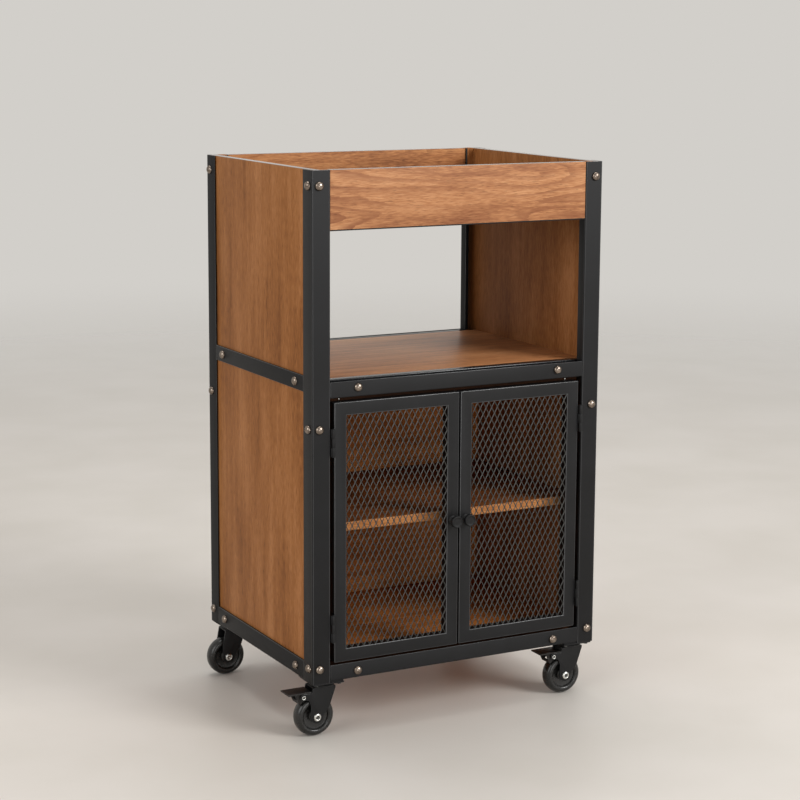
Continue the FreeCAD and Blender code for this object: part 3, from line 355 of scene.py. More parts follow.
@dataclass(frozen=True)
class PatchedFinish(Finish):
    """A ground with something over it in soft patches, such as handling marks, patina or dust.

    The span says where in the noise the patches start and where they cover most. The relief is that of the patches,
    or of the peel where the finish has one.
    """

    ground: str
    patch: str
    roughness: float
    patch_mm: float
    span: tuple[float, float]
    cover: float
    dulling: float
    detail: float
    crumble: float
    relief: float
    relief_mm: float = 0.3
    metallic: float = 0.0
    specular: float = 0.5
    peel_mm: float = 0.0
    peel_detail: float = 2.0
    peel_roughness: float = 0.14

    def dress(self, tree: bpy.types.NodeTree, place: bpy.types.NodeSocket) -> Sockets:
        """Lays the patches over the ground, and the relief under both.

        Args:
            tree: The material's node tree.
            place: The object's own coordinates.

        Returns:
            What goes into the principled shader's sockets.
        """
        noise = {"Vector": place, "Scale": 1000 / self.patch_mm, "Detail": self.detail, "Roughness": self.crumble}
        patches = add(tree, "TexNoise", sockets=noise)
        span = {"From Min": self.span[0], "From Max": self.span[1], "To Max": self.cover}
        film = add(tree, "MapRange", sockets={"Value": patches} | span)
        rough, height = {0: film, 1: self.dulling, 2: self.roughness}, patches
        if self.peel_mm:
            peel = {"Vector": place, "Scale": 1000 / self.peel_mm, "Detail": self.peel_detail}
            height = add(tree, "TexNoise", sockets=peel)
            base = self.roughness - self.peel_roughness / 2
            grain = add(tree, "Math", MULTIPLY_ADD, {0: height, 1: self.peel_roughness, 2: base})
            rough = {0: patches, 1: self.dulling, 2: grain}
        bump = {"Strength": self.relief, "Distance": self.relief_mm * MM, "Height": height}
        tints = {"Factor": film, FIRST: linear(self.ground), SECOND: linear(self.patch)}
        return {
            "Base Color": add(tree, "Mix", COLOURS, tints),
            "Roughness": add(tree, "Math", MULTIPLY_ADD, rough),
            "Normal": add(tree, "Bump", sockets=bump),
            "Metallic": self.metallic,
            "Specular IOR Level": self.specular,
        }


@dataclass(frozen=True)
class PowderCoat(PatchedFinish):
    """Black powder coat or electrocoat on steel: fine orange peel, and faint handling marks in the gloss."""

    patch_mm: float = 70.0
    span: tuple[float, float] = (0.45, 0.75)
    cover: float = 0.6
    dulling: float = 0.12
    detail: float = 5.0
    crumble: float = 0.6
    relief: float = 0.2
    relief_mm: float = 0.2
    peel_mm: float = 1.6


@dataclass(frozen=True)
class AgedMetal(PatchedFinish):
    """Plated metal with a mottled patina: nickel gone brown, or zinc gone dull in spots."""

    cover: float = 1.0
    dulling: float = 0.2
    detail: float = 4.0
    crumble: float = 0.65
    relief: float = 0.12
    metallic: float = 1.0


@dataclass(frozen=True)
class MouldedRubber(PatchedFinish):
    """Dark moulded rubber or plastic: smooth, a little dusty, with faint flow marks."""

    patch_mm: float = 9.0
    span: tuple[float, float] = (0.45, 0.8)
    cover: float = 0.22
    dulling: float = 0.5
    detail: float = 6.0
    crumble: float = 0.7
    relief: float = 0.1


@dataclass(frozen=True)
class PaleConcrete(Finish):
    """Polished pale concrete: faint clouds and a soft sheen, and clear towards the rim, given in metres."""

    tones: tuple[str, str]
    cloud_mm: float
    clear_from: float
    clear_at: float
    tone_stops: tuple[float, float] = (0.35, 0.65)
    detail: float = 6.0
    roughness: float = 0.42
    specular: float = 0.25

    def dress(self, tree: bpy.types.NodeTree, place: bpy.types.NodeSocket) -> Sockets:
        """Lays the clouds, and clears the surface towards the rim, so that the background shows there.

        Args:
            tree: The material's node tree.
            place: The object's own coordinates.

        Returns:
            What goes into the principled shader's sockets.
        """
        noise = {"Vector": place, "Scale": 1000 / self.cloud_mm, "Detail": self.detail}
        cloud = add(tree, "TexNoise", sockets=noise)
        tint = add(tree, "ValToRGB", sockets={0: cloud}, stops=tuple(zip(self.tone_stops, self.tones)))
        distance = add(tree, "VectorMath", {"operation": "LENGTH"}, {0: place})
        span = {"From Min": self.clear_from, "From Max": self.clear_at, "To Min": 1.0, "To Max": 0.0}
        return {
            "Base Color": tint,
            "Roughness": self.roughness,
            "Specular IOR Level": self.specular,
            "Alpha": add(tree, "MapRange", SMOOTH, {"Value": distance} | span),
        }


class Finishes:
    """All finishes of the cart."""

    # Side panels: a calm upright figure with hardly any shine, so the big faces look even.
    upright_board = StainedWalnut(
        "walnut_veneer_upright", Grain.UPRIGHT, 3.1, ("#7F4E29", "#A0683A", "#B67D4F"), Rings(0.14, 11.0, 150.0),
        fibre=Layer(0.11, 2.1, 2.5), weights=(0.75, 0.35, 0.8), specular=0.08
    )
    # Tray front: the strongest rings of the cart, in wavy lines, and a little pinker than the rest.
    tray_board = StainedWalnut(
        "walnut_veneer_tray", Grain.LEVEL, 1.7, ("#855338", "#AF7952", "#CA956B"), Rings(0.8, 7.5, 110.0),
        fibre=Layer(0.11, 1.9, 2.5), weights=(0.6, 0.35, 0.65)
    )
    # Tray back: finer, closer rings, seen over the front board.
    tray_back_board = StainedWalnut(
        "walnut_veneer_tray_back", Grain.LEVEL, 9.4, ("#7E4B2B", "#B27547", "#CE925F"), Rings(0.35, 4.5, 110.0),
        fibre=Layer(0.11, 1.7, 2.5), weights=(0.4, 0.55, 0.8)
    )
    # Microwave shelf: lighter and glossier, so it shows a soft sheen towards the light.
    shelf_board = StainedWalnut(
        "walnut_veneer_shelf", Grain.LEVEL, 7.3, ("#A0663E", "#C8895A", "#DDA06E"), Rings(0.25, 9.0, 150.0),
        gloss=0.38, specular=0.36
    )
    # Cabinet floor and back: reddish and matt behind the mesh.
    inner_board = StainedWalnut(
        "walnut_veneer_inside", Grain.LEVEL, 11.9, ("#8C4F22", "#B06A32", "#C98245"), Rings(0.2, 10.0, 150.0),
        gloss=0.55
    )
    # Inner shelf: a darker face as painted shade, which lets its pale front edge stand out.
    dim_board = StainedWalnut(
        "walnut_veneer_inner_shelf", Grain.LEVEL, 4.6, ("#5A3015", "#784420", "#925A2E"), Rings(0.2, 10.0, 150.0),
        gloss=0.6
    )
    # Edge tape of the inner boards, made the palest wood inside as a painted highlight: one bright line.
    edge_tape = StainedWalnut(
        "walnut_edge_tape", Grain.LEVEL, 6.1, ("#9C5F30", "#BA7B46", "#CE935F"), Rings(0.2, 6.0, 90.0), gloss=0.5
    )
    # Lacquered upper edges of the side and tray boards: dark, with a thin glossy line of light.
    board_edge = StainedWalnut(
        "lacquered_board_edge", Grain.LEVEL, 5.3, ("#3F2A1E", "#5A4032", "#6F5242"), Rings(0.1), gloss=0.2,
        specular=0.5, lacquer=1.0
    )
    # Stretchers stained nearly black as painted shadow behind the rails.
    dark_board = StainedWalnut(
        "dark_stained_stretcher", Grain.LEVEL, 2.2, ("#281407", "#3A200F", "#4B2C17"), Rings(0.1), gloss=0.6
    )
    # Polyester powder coat on posts and rails: near black, fine peel, soft sheen.
    frame_coat = PowderCoat("powder_coat_frame", "#111112", "#19191B", 0.46, specular=0.22)
    # The same coat on the door frames and knobs, a little smoother.
    door_coat = PowderCoat("powder_coat_doors", "#111112", "#1A1A1C", 0.44, specular=0.24)
    # A smooth coat on the thin shelf trims: one glossy dark line.
    trim_coat = PowderCoat("powder_coat_trims", "#17181A", "#202123", 0.2, specular=0.6)
    # A paler, smoother coat on the broken edges: a painted highlight that outlines the steel.
    rubbed_edge = PowderCoat("powder_coat_rubbed_edge", "#2C2D2F", "#3A3B3D", 0.24, specular=0.7)
    # A thinner, greyer coat on the expanded metal, whose strands show against the dark inside.
    mesh_coat = PowderCoat("powder_coat_mesh", "#383836", "#484844", 0.3, specular=0.5)
    # Electrocoat on pressed caster steel: deep black, thin and even.
    caster_coat = PowderCoat("electrocoat_casters", "#0E0E0F", "#171718", 0.36, specular=0.25)
    # Electrocoat on the brake levers: black with a brown tinge.
    lever_coat = PowderCoat("electrocoat_levers", "#151211", "#211D1B", 0.36, specular=0.3)
    # Nickel plate gone brown in patches: warm grey domes with small highlights.
    nickel = AgedMetal("aged_nickel_plate", "#8F8378", "#4E423A", 0.22, 9.0, (0.44, 0.72))
    # Bright zinc plate: pale, nearly white heads and rings.
    zinc = AgedMetal("bright_zinc_plate", "#D2D2CE", "#94948F", 0.24, 3.0, (0.52, 0.76))
    # Zinc plate darkened as painted shade: grey, in the hollows and on the bolts under the cart.
    dull_zinc = AgedMetal("dull_zinc_plate", "#5E5E5C", "#353534", 0.49, 3.0, (0.4, 0.7))
    # Moulded rubber wheels: black and smooth under a thin film of dust.
    rubber = MouldedRubber("dark_caster_rubber", "#131312", "#363634", 0.24)
    # Moulded brown plastic of the door catch: matt and slightly dusty.
    catch_plastic = MouldedRubber("brown_catch_plastic", "#3A2A20", "#54443A", 0.5)
    # The studio's floor: pale and plain, so that the cart's shadow shows softly.
    concrete = PaleConcrete("polished_pale_concrete", ("#D0CAC2", "#D6D0C9"), 1000 / 3, 1.6, 6.6)


class Workpiece:
    """One mesh piece on the bench, shaped with the editing operators."""

    def __init__(self, item: bpy.types.Object, name: str) -> None:
        """Takes an object, and names it and its mesh."""
        self.item = item
        item.name = item.data.name = name

    @staticmethod
    def clear_bench() -> None:
        """Deselects every object."""
        for item in bpy.context.selected_objects:
            item.select_set(False)

    @staticmethod
    def settle() -> None:
        """Puts the active piece's place, turn and size into its mesh."""
        bpy.ops.object.transform_apply(location=True, rotation=True, scale=True)

    @classmethod
    def block(cls, name: str, corner: Vector, opposite: Vector) -> "Workpiece":
        """Starts from a block between two corners.

        Args:
            name: The piece's name.
            corner: One corner, in metres.
            opposite: The opposite corner, in metres.

        Returns:
            The block.
        """
        cls.clear_bench()
        bpy.ops.mesh.primitive_cube_add(size=1, location=(corner + opposite) / 2)
        piece = cls(bpy.context.object, name)
        piece.item.scale = [abs(length) for length in opposite - corner]
        piece.settle()
        return piece

    @classmethod
    def turned(cls, name: str, profile: Profile, centre: Vector, steps: int, lying: bool = False) -> "Workpiece":
        """Raises a turned piece ring by ring, as on a lathe.

        Args:
            name: The piece's name.
            profile: Radius and height of each ring, from the first to the last.
            centre: Where height 0 lies, in metres.
            steps: Corners of each ring.
            lying: Whether its height runs along Y instead of up.

        Returns:
            The closed piece.
        """
        cls.clear_bench()
        radius, height = profile[0]
        bpy.ops.mesh.primitive_circle_add(vertices=steps, radius=radius * MM, fill_type="NGON")
        piece = cls(bpy.context.object, name)
        piece.edit()
        bpy.ops.transform.translate(value=(0, 0, height * MM))
        for new_radius, new_height in profile[1:]:
            bpy.ops.mesh.extrude_region_move(TRANSFORM_OT_translate={"value": (0, 0, (new_height - height) * MM)})
            if new_radius != radius:
                scale = new_radius / radius
                bpy.ops.transform.resize(value=(scale, scale, 1), center_override=(0, 0, new_height * MM))
            radius, height = new_radius, new_height
        piece.rest(turn_out=True)
        piece.item.rotation_euler = (-math.pi / 2 if lying else 0, 0, 0)
        piece.item.location = centre
        piece.settle()
        return piece

    @classmethod
    def refined(cls, name: str, node: bpy.types.Object) -> "Workpiece":
        """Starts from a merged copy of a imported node.

        Args:
            name: The piece's name.
            node: The node's object, which stays as it is.

        Returns:
            The copy, with its doubled corners merged and its flat faces whole.
        """
        piece = cls.copied(node, name, Matrix())
        piece.item.data.materials.clear()
        piece.edit()
        bpy.ops.mesh.remove_doubles(threshold=MERGED)
        bpy.ops.mesh.dissolve_limited(angle_limit=FLAT)
        return piece.rest()

    @classmethod
    def copied(cls, item: bpy.types.Object, name: str, matrix: Matrix) -> "Workpiece":
        """Copies an object, with a mesh of its own.

        Args:
            item: The object, which stays as it is.
            name: The copy's name.
            matrix: Where the copy goes from here.

        Returns:
            The copy.
        """
        copy = bpy.data.objects.new(name, item.data.copy())
        copy.data.transform(matrix)
        bpy.context.scene.collection.objects.link(copy)
        return cls(copy, name)

    @classmethod
    def joined(cls, name: str, pieces: list["Workpiece"]) -> "Workpiece":
        """Joins separate solids into one object.

        Args:
            name: The object's new name.
            pieces: The pieces, which it takes in.

        Returns:
            The joined piece.
        """
        pieces[0].take()
        for piece in pieces:
            piece.item.select_set(True)
        bpy.ops.object.join()
        return cls(bpy.context.object, name)

    def take(self) -> None:
        """Selects this piece alone and makes it the active one."""
        self.clear_bench()
        self.item.select_set(True)
        bpy.context.view_layer.objects.active = self.item

    def edit(self) -> None:
        """Takes the piece alone into edit mode, with all of it selected."""
        self.take()
        bpy.ops.object.mode_set(mode="EDIT")
        bpy.ops.mesh.select_all(action="SELECT")

    def rest(self, turn_out: bool = False) -> "Workpiece":
        """Comes back to object mode.

        Args:
            turn_out: Whether all faces are first turned outwards.

        Returns:
            The same piece.
        """
        if turn_out:
            bpy.ops.mesh.select_all(action="SELECT")
            bpy.ops.mesh.normals_make_consistent(inside=False)
        bpy.ops.object.mode_set(mode="OBJECT")
        return self

    def pick(self, kind: Pick, test: Test) -> None:
        """Goes into edit mode and selects the faces or edges that pass the test.

        Args:
            kind: Faces or edges.
            test: Which of them, by their middle and their normal or direction.
        """
        self.edit()
        bpy.ops.mesh.select_mode(type=kind.value)
        bpy.ops.mesh.select_all(action="DESELECT")
        mesh = bmesh.from_edit_mesh(self.item.data)
        if kind is Pick.FACES:
            parts = [(face, face.calc_center_median(), face.normal) for face in mesh.faces]
        else:
            ends = [(edge, *(corner.co for corner in edge.verts)) for edge in mesh.edges]
            parts = [(edge, (start + stop) / 2, (stop - start).normalized()) for edge, start, stop in ends]
        for part, middle, way in parts:
            if test(middle, way):
                part.select_set(True)
        mesh.select_flush_mode()
        bmesh.update_edit_mesh(self.item.data)

    def pull(self, test: Test, way: Vector) -> "Workpiece":
        """Extrudes the faces that pass the test.

        Args:
            test: Which faces, by their middle and normal.
            way: How far and which way, in metres.

        Returns:
            The same piece.
        """
        self.pick(Pick.FACES, test)
        bpy.ops.mesh.extrude_region_move(TRANSFORM_OT_translate={"value": way})
        return self.rest()

    def cut(self, point: Vector, normal: Vector, clear_outer: bool = False) -> "Workpiece":
        """Cuts the piece with a plane.

        Args:
            point: A point on the plane, in metres.
            normal: The plane's normal.
            clear_outer: Whether what lies on the normal's side is taken off and the cut closed.

        Returns:
            The same piece.
        """
        self.edit()
        bpy.ops.mesh.bisect(plane_co=point, plane_no=normal, clear_outer=clear_outer, use_fill=clear_outer)
        return self.rest()

    def bend_round(self, test: Test, radius: float, steps: int) -> "Workpiece":
        """Rounds the edges that pass the test.

        Args:
            test: Which edges, by their middle and direction.
            radius: The bend's radius.
            steps: Faces round the bend.

        Returns:
            The same piece.
        """
        self.pick(Pick.EDGES, test)
        bpy.ops.mesh.bevel(offset=radius * MM, segments=steps, affect="EDGES", clamp_overlap=True)
        return self.rest()

    def soften(self, width: float, steps: int = 2, angle: float = 35.0, edge: Finish | None = None) -> "Workpiece":
        """Breaks all sharp edges.

        Args:
            width: The broken edge's width.
            steps: Faces across it.
            angle: Edges flatter than this many degrees are left.
            edge: A finish of its own for the broken edges, where they have one.

        Returns:
            The same piece.
        """
        self.take()
        bevel = self.item.modifiers.new("broken_edges", "BEVEL")
        if edge:
            self.item.data.materials.append(None)
            self.item.data.materials.append(edge.material())
            bevel.material = 1
        bevel.width = width * MM
        bevel.segments = steps
        bevel.limit_method = "ANGLE"
        bevel.angle_limit = math.radians(angle)
        bpy.ops.object.modifier_apply(modifier=bevel.name)
        return self

    def capped(self, finish: Finish, test: Test) -> "Workpiece":
        """Gives the faces that pass the test a finish of their own.

        Args:
            finish: Their finish.
            test: Which faces, by their middle and normal.

        Returns:
            The same piece.
        """
        materials = self.item.data.materials
        if not materials:
            materials.append(None)
        materials.append(finish.material())
        for face in self.item.data.polygons:
            if test(face.center, face.normal):
                face.material_index = len(materials) - 1
        return self

    def repeated(self, count: int, step: Vector) -> "Workpiece":
        """Repeats the piece in a row.

        Args:
            count: How many there are in the end.
            step: From one to the next, in metres.

        Returns:
            The same piece, with the whole row in it.
        """
        self.take()
        row = self.item.modifiers.new("row", "ARRAY")
        row.count = count
        row.use_relative_offset = False
        row.use_constant_offset = True
        row.constant_offset_displace = step
        bpy.ops.object.modifier_apply(modifier=row.name)
        return self

    def finish(self, finish: Finish, body: str, slot: str, node: str, smooth: float = 40.0) -> None:
        """Shades, dresses and mounts the finished piece.

        Args:
            finish: Its finish, apart from faces that have their own.
            body: The body that it rides on.
            slot: The record's material slot; not used.
            node: The node that it stands for.
            smooth: Edges flatter than this many degrees are shaded smooth.
        """
        self.take()
        bpy.ops.object.shade_smooth_by_angle(angle=math.radians(smooth))
        materials = self.item.data.materials
        if not materials:
            materials.append(None)
        materials[0] = finish.material()
        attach(self.item, body)
        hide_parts(node)
        LOG.info("%s: %d faces on %s", self.item.name, len(self.item.data.polygons), body)


def across(point: Vector, centre: Vector) -> float:
    """The distance between two points seen along Y, in metres."""
    return math.hypot(point.x - centre.x, point.z - centre.z)


@dataclass
class SteelFrame:
    """Posts of lipped steel angle, flat side rails, angled end rails and shelf trims."""

    wall: float = 2.0
    post_flange: float = 36.0
    post_lip: float = 20.0
    corner_radius: float = 3.0
    lip_radius: float = 3.6
    post_edge: float = 0.45
    rail_wall: float = 2.5
    trim_wall: float = 1.5
    fold_radius: float = 2.0
    fold_edge: float = 0.5
    bar_edge: float = 0.8
    edge_angle: float = 50.0
    slot: str = "frame_steel"

    def build(self) -> None:
        """Builds every piece of the frame."""
        for end in End:
            for side in Side:
                self.post(end, side)
            self.angle(f"{end.word}_mid_rail", end, self.rail_wall, low_leg=True)
            self.angle(f"{end.word}_bottom_rail", end, self.rail_wall, low_leg=True)
            self.angle(f"{end.word}_shelf_trim", end, self.trim_wall, low_leg=False)
        for side, level in product(Side, ("mid", "bottom")):
            node = f"{side.word}_side_{level}_rail"
            bar = Workpiece.block(f"{node}_bar", *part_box(node))
            # The broken edges take a paler coat as a painted highlight.
            bar.soften(self.bar_edge, steps=3, edge=Finishes.rubbed_edge)
            bar.finish(Finishes.frame_coat, "cart", self.slot, node)

    def post(self, end: End, side: Side) -> None:
        """Bends one post: the end flange first, then the side flange and the lip are drawn from it.

        Args:
            end: Front or rear.
            side: Left or right.
        """
        node = f"{end.word}_{side.word}_post"
        low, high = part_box(node)
        corner = Vector((low.x if side is Side.LEFT else high.x, low.y if end is End.FRONT else high.y, low.z))
        flange, lip, wall = self.post_flange * MM, self.post_lip * MM, self.wall * MM
        lip_x = corner.x - side.value * flange
        piece = Workpiece.block(f"{node}_angle", corner, Vector((lip_x, corner.y - end.value * wall, high.z)))
        reach = flange - wall
        for distance in (wall, reach):
            piece.cut(Vector((corner.x - side.value * distance, corner.y, low.z)), Vector((1, 0, 0)))

        def inner(first: float, last: float) -> Test:
            """Tests for the inner faces between two distances from the corner, in metres."""
            return lambda middle, normal: -end.value * normal.y > FACING and first < abs(middle.x - corner.x) < last

        piece.pull(inner(0, wall), Vector((0, -end.value * reach, 0)))
        piece.pull(inner(reach, flange), Vector((0, -end.value * (lip - wall), 0)))
        for x, radius in ((corner.x, self.corner_radius), (lip_x, self.lip_radius)):
            line = Vector((x, corner.y, 0))
            piece.bend_round(
                lambda middle, way, line=line: abs(way.z) > FACING and (middle - line).to_2d().length < NEAR,
                radius,
                steps=5,
            )
        # The broken edges take a paler coat as a painted highlight.
        piece.soften(self.post_edge, angle=self.edge_angle, edge=Finishes.rubbed_edge)
        piece.finish(Finishes.frame_coat, "cart", self.slot, node)

    def angle(self, node: str, end: End, wall: float, low_leg: bool) -> None:
        """Bends one angle: an upright leg outside and a flat leg at its foot or head.

        Args:
            node: The node that it stands for.
            end: Front or rear.
            wall: The sheet's thickness.
            low_leg: Whether the flat leg is at the foot.
        """
        low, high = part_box(node)
        outer = low.y if end is End.FRONT else high.y
        inner = outer - end.value * wall * MM
        piece = Workpiece.block(f"{node}_angle", Vector((low.x, outer, low.z)), Vector((high.x, inner, high.z)))
        level = low.z + wall * MM if low_leg else high.z - wall * MM
        piece.cut(Vector((0, 0, level)), UP)
        depth = (high.y - low.y) - wall * MM
        piece.pull(
            lambda middle, normal: -end.value * normal.y > FACING and (middle.z < level) == low_leg,
            Vector((0, -end.value * depth, 0)),
        )
        fold = Vector((0, outer, low.z if low_leg else high.z))
        piece.bend_round(
            lambda middle, way: abs(way.x) > FACING and (middle - fold).yz.length < NEAR,
            min(self.fold_radius, wall),
            steps=4,
        )
        # The broken edges take a paler coat as a painted highlight.
        piece.soften(self.fold_edge, angle=self.edge_angle, edge=Finishes.rubbed_edge)
        piece.finish(Finishes.frame_coat if low_leg else Finishes.trim_coat, "cart", self.slot, node)


@dataclass
class Boards:
    """Side panels, tray boards and shelves of stained walnut veneer with eased edges."""

    frame: dict
    eased: float = 0.7
    edge_facing: float = 0.3
    slot: str = "wood"

    def build(self) -> None:
        """Builds each board, its edges in a finish of their own, and dresses those that stay as packed."""
        rows = (
            ("left_side_panel", Finishes.upright_board, Finishes.board_edge, UP),
            ("right_side_panel", Finishes.upright_board, Finishes.board_edge, UP),
            ("tray_front_board", Finishes.tray_board, Finishes.board_edge, UP),
            ("tray_back_board", Finishes.tray_back_board, Finishes.board_edge, UP),
            ("microwave_shelf", Finishes.shelf_board, Finishes.shelf_board, FORWARDS),
            # The inner shelf's darker face is painted shade; the pale tape on the front edges of the inner shelf and
            # cabinet floor is a painted highlight.
            ("inner_shelf", Finishes.dim_board, Finishes.edge_tape, FORWARDS),
            ("cabinet_floor", Finishes.inner_board, Finishes.edge_tape, FORWARDS),
        )
        for node, finish, edging, way in rows:
            piece = Workpiece.block(f"{node}_veneered", *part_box(node)).soften(self.eased, steps=3)
            piece.capped(edging, lambda middle, normal, way=way: normal.dot(way) > self.edge_facing)
            piece.finish(finish, "cart", self.slot, node)
        # The stretchers are stained nearly black as painted shadow behind the rails.
        plain = {f"{end.word}_{level}_stretcher": Finishes.dark_board for end, level in product(End, ("mid", "bottom"))}
        plain |= {"cabinet_back": Finishes.inner_board, "tray_corner_blocks": Finishes.upright_board}
        for node, finish in plain.items():
            materials = self.frame["nodes"][node].data.materials
            materials.clear()
            materials.append(finish.material())


@dataclass
class Door:
    """One door: a welded frame of square tube, expanded metal inside it, and a round knob."""

    side: Side
    member: float = 24.0
    edge_radius: float = 1.3
    strand_width: float = 1.7
    strand_thickness: float = 0.75
    strand_turn: float = 48.0
    pitch_across: float = 12.1
    pitch_up: float = 22.5
    bond: float = 2.6
    # Radius and height of the knob: rose, neck, head, soft rim and a flat, slightly sunken face.
    knob_profile: tuple[tuple[float, float], ...] = (
        *((9.0, 0.0), (9.0, 1.4), (8.4, 2.2), (6.0, 3.0), (5.1, 4.4), (5.0, 7.0), (5.6, 9.0)),
        *((8.4, 10.8), (10.6, 12.2), (11.4, 13.8), (11.5, 15.6), (11.2, 18.0), (10.6, 19.3)),
        *((9.7, 20.0), (8.9, 19.8), (8.4, 19.0), (7.6, 18.5), (4.0, 18.7), (0.6, 18.8)),
    )

    def build(self) -> None:
        """Builds the door's pieces."""
        self.tube_frame()
        self.expanded_metal()
        self.knob()

    @property
    def body(self) -> str:
        """The body that the door's pieces ride on."""
        return f"{self.side.word}_door"

    def tube_frame(self) -> None:
        """Opens a block into a frame: both faces are inset and the insets bridged."""
        node = f"{self.side.word}_door_frame"
        piece = Workpiece.block(f"{node}_welded", *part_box(node))
        piece.pick(Pick.FACES, lambda middle, normal: abs(normal.y) > FACING)
        bpy.ops.mesh.inset(thickness=self.member * MM, use_even_offset=True)
        bpy.ops.mesh.bridge_edge_loops()
        # The broken edges take a paler coat as a painted highlight.
        piece.rest(turn_out=True).soften(self.edge_radius, steps=4, edge=Finishes.rubbed_edge)
        piece.finish(Finishes.door_coat, self.body, "door_steel", node)

    def expanded_metal(self) -> None:
        """Draws one wavy strand from a turned slip of sheet, repeats it, and trims the sheet to the frame."""
        node = f"{self.side.word}_door_mesh"
        low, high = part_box(node)
        columns = round((high.x - low.x) / MM / self.pitch_across)
        rows = round((high.z - low.z) / MM / self.pitch_up)
        column, row = (high.x - low.x) / columns, (high.z - low.z) / rows
        bond, turn = self.bond * MM, math.radians(self.strand_turn)
        reach = self.strand_width * MM * math.cos(turn) / 2
        Workpiece.clear_bench()
        bpy.ops.mesh.primitive_plane_add(size=1)
        piece = Workpiece(bpy.context.object, f"{node}_expanded")
        piece.item.scale = (self.strand_width * MM, self.strand_thickness * MM, 1)
        piece.item.rotation_euler = (0, 0, -turn)
        piece.item.location = (low.x + reach, (low.y + high.y) / 2, low.z - bond / 2)
        piece.settle()
        run, rise = column / 2 - 2 * reach, row / 2 - bond
        piece.edit()
        for way in ((0, 0, bond), (run, 0, rise), (0, 0, bond), (-run, 0, rise)):
            bpy.ops.mesh.extrude_region_move(TRANSFORM_OT_translate={"value": way})
        piece.rest(turn_out=True).repeated(rows + 1, Vector((0, 0, row)))
        partner = Workpiece.copied(piece.item, f"{node}_partner", Matrix.Translation((column / 2, 0, -row / 2)))
        sheet = Workpiece.joined(f"{node}_expanded", [piece, partner]).repeated(columns, Vector((column, 0, 0)))
        sheet.cut(low, -UP, clear_outer=True).cut(high, UP, clear_outer=True)
        sheet.finish(Finishes.mesh_coat, self.body, "mesh_steel", node, smooth=25.0)

    def knob(self) -> None:
        """Turns the knob, its head towards the front."""
        node = f"{self.side.word}_knob"
        low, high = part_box(node)
        centre = Vector(((low.x + high.x) / 2, high.y, (low.z + high.z) / 2))
        outwards = [(radius, -height) for radius, height in self.knob_profile]
        piece = Workpiece.turned(f"{node}_turned", outwards, centre, steps=48, lying=True)
        piece.finish(Finishes.door_coat, self.body, "door_steel", node, smooth=60.0)


@dataclass
class Bolts:
    """Dome-head bolts of the posts and rails."""

    half_width: float = 300.0
    half_depth: float = 232.0
    head_radius: float = 8.2
    head_height: float = 6.5
    skirt: float = 0.5
    dome_angles: tuple[float, ...] = (4, 14, 26, 38, 50, 62, 74, 84)
    shank_radius: float = 3.0
    long_shank: float = 31.8
    short_shank: float = 10.3
    inset: float = 14.5
    rail_inset: float = 91.0
    side_rail_inset: float = 69.0
    post_levels: tuple[float, ...] = (-524.0, -85.0, 345.5)
    end_rail_levels: tuple[float, ...] = (-535.5, -13.5)
    side_rail_levels: tuple[float, ...] = (-532.0, -6.0)
    # Radians that a bolt is turned in its hole per millimetre across and up, so that no two look alike.
    spins: tuple[float, float] = (0.37, 0.11)

    def build(self) -> None:
        """Turns one bolt of each length and sets copies of it where the real ones are."""
        long_bolt, short_bolt = self.bolt("long_bolt", self.long_shank), self.bolt("short_bolt", self.short_shank)
        posts, rails = [], []
        for end, side in product(End, Side):
            outer_x, outer_y = side.value * self.half_width, end.value * self.half_depth
            rear, middle = Vector((0, -end.value, 0)), Vector((-side.value, 0, 0))
            near_x, near_y = outer_x - side.value * self.inset, outer_y - end.value * self.inset
            for level in self.post_levels:
                posts.append(self.placed(long_bolt, Vector((near_x, outer_y, level)), rear))
                posts.append(self.placed(short_bolt, Vector((outer_x, near_y, level)), middle))
            rail_x, rail_y = outer_x - side.value * self.rail_inset, outer_y - end.value * self.side_rail_inset
            for level in self.end_rail_levels:
                rails.append(self.placed(long_bolt, Vector((rail_x, outer_y, level)), rear))
            for level in self.side_rail_levels:
                rails.append(self.placed(short_bolt, Vector((outer_x, rail_y, level)), middle))
        for bolt in (long_bolt, short_bolt):
            bpy.data.objects.remove(bolt.item)
        for node, bolts in (("post_bolts", posts), ("rail_bolts", rails)):
            piece = Workpiece.joined(f"{node}_domed", bolts)
            piece.finish(Finishes.nickel, "cart", "bolt_nickel", node, smooth=60.0)

    def bolt(self, name: str, length: float) -> Workpiece:
        """Turns one bolt, its head below height 0 and its shank above.

        Args:
            name: The piece's name.
            length: The shank's length.

        Returns:
            The bolt.
        """
        rise = self.head_height - self.skirt
        turns = [math.radians(angle) for angle in self.dome_angles]
        dome = [(self.head_radius * math.sin(turn), -self.skirt - rise * math.cos(turn)) for turn in turns]
        skirt = [(self.head_radius, -self.skirt), (self.head_radius, 0.0), (self.shank_radius, 0.0)]
        return Workpiece.turned(name, dome + skirt + [(self.shank_radius, length)], Vector(), steps=24)

    def placed(self, bolt: Workpiece, point: Vector, inwards: Vector) -> Workpiece:
        """Copies a bolt to its place, a little turned in its hole as the real ones are.

        Args:
            bolt: The bolt.
            point: Where its head meets the steel.
            inwards: The way that its shank points.

        Returns:
            The copy.
        """
        spin = Matrix.Rotation(point.x * self.spins[0] + point.z * self.spins[1], 4, "Z")
        lean = inwards.to_track_quat("Z", "Y").to_matrix().to_4x4()
        return Workpiece.copied(bolt.item, "bolt", Matrix.Translation(point * MM) @ lean @ spin)


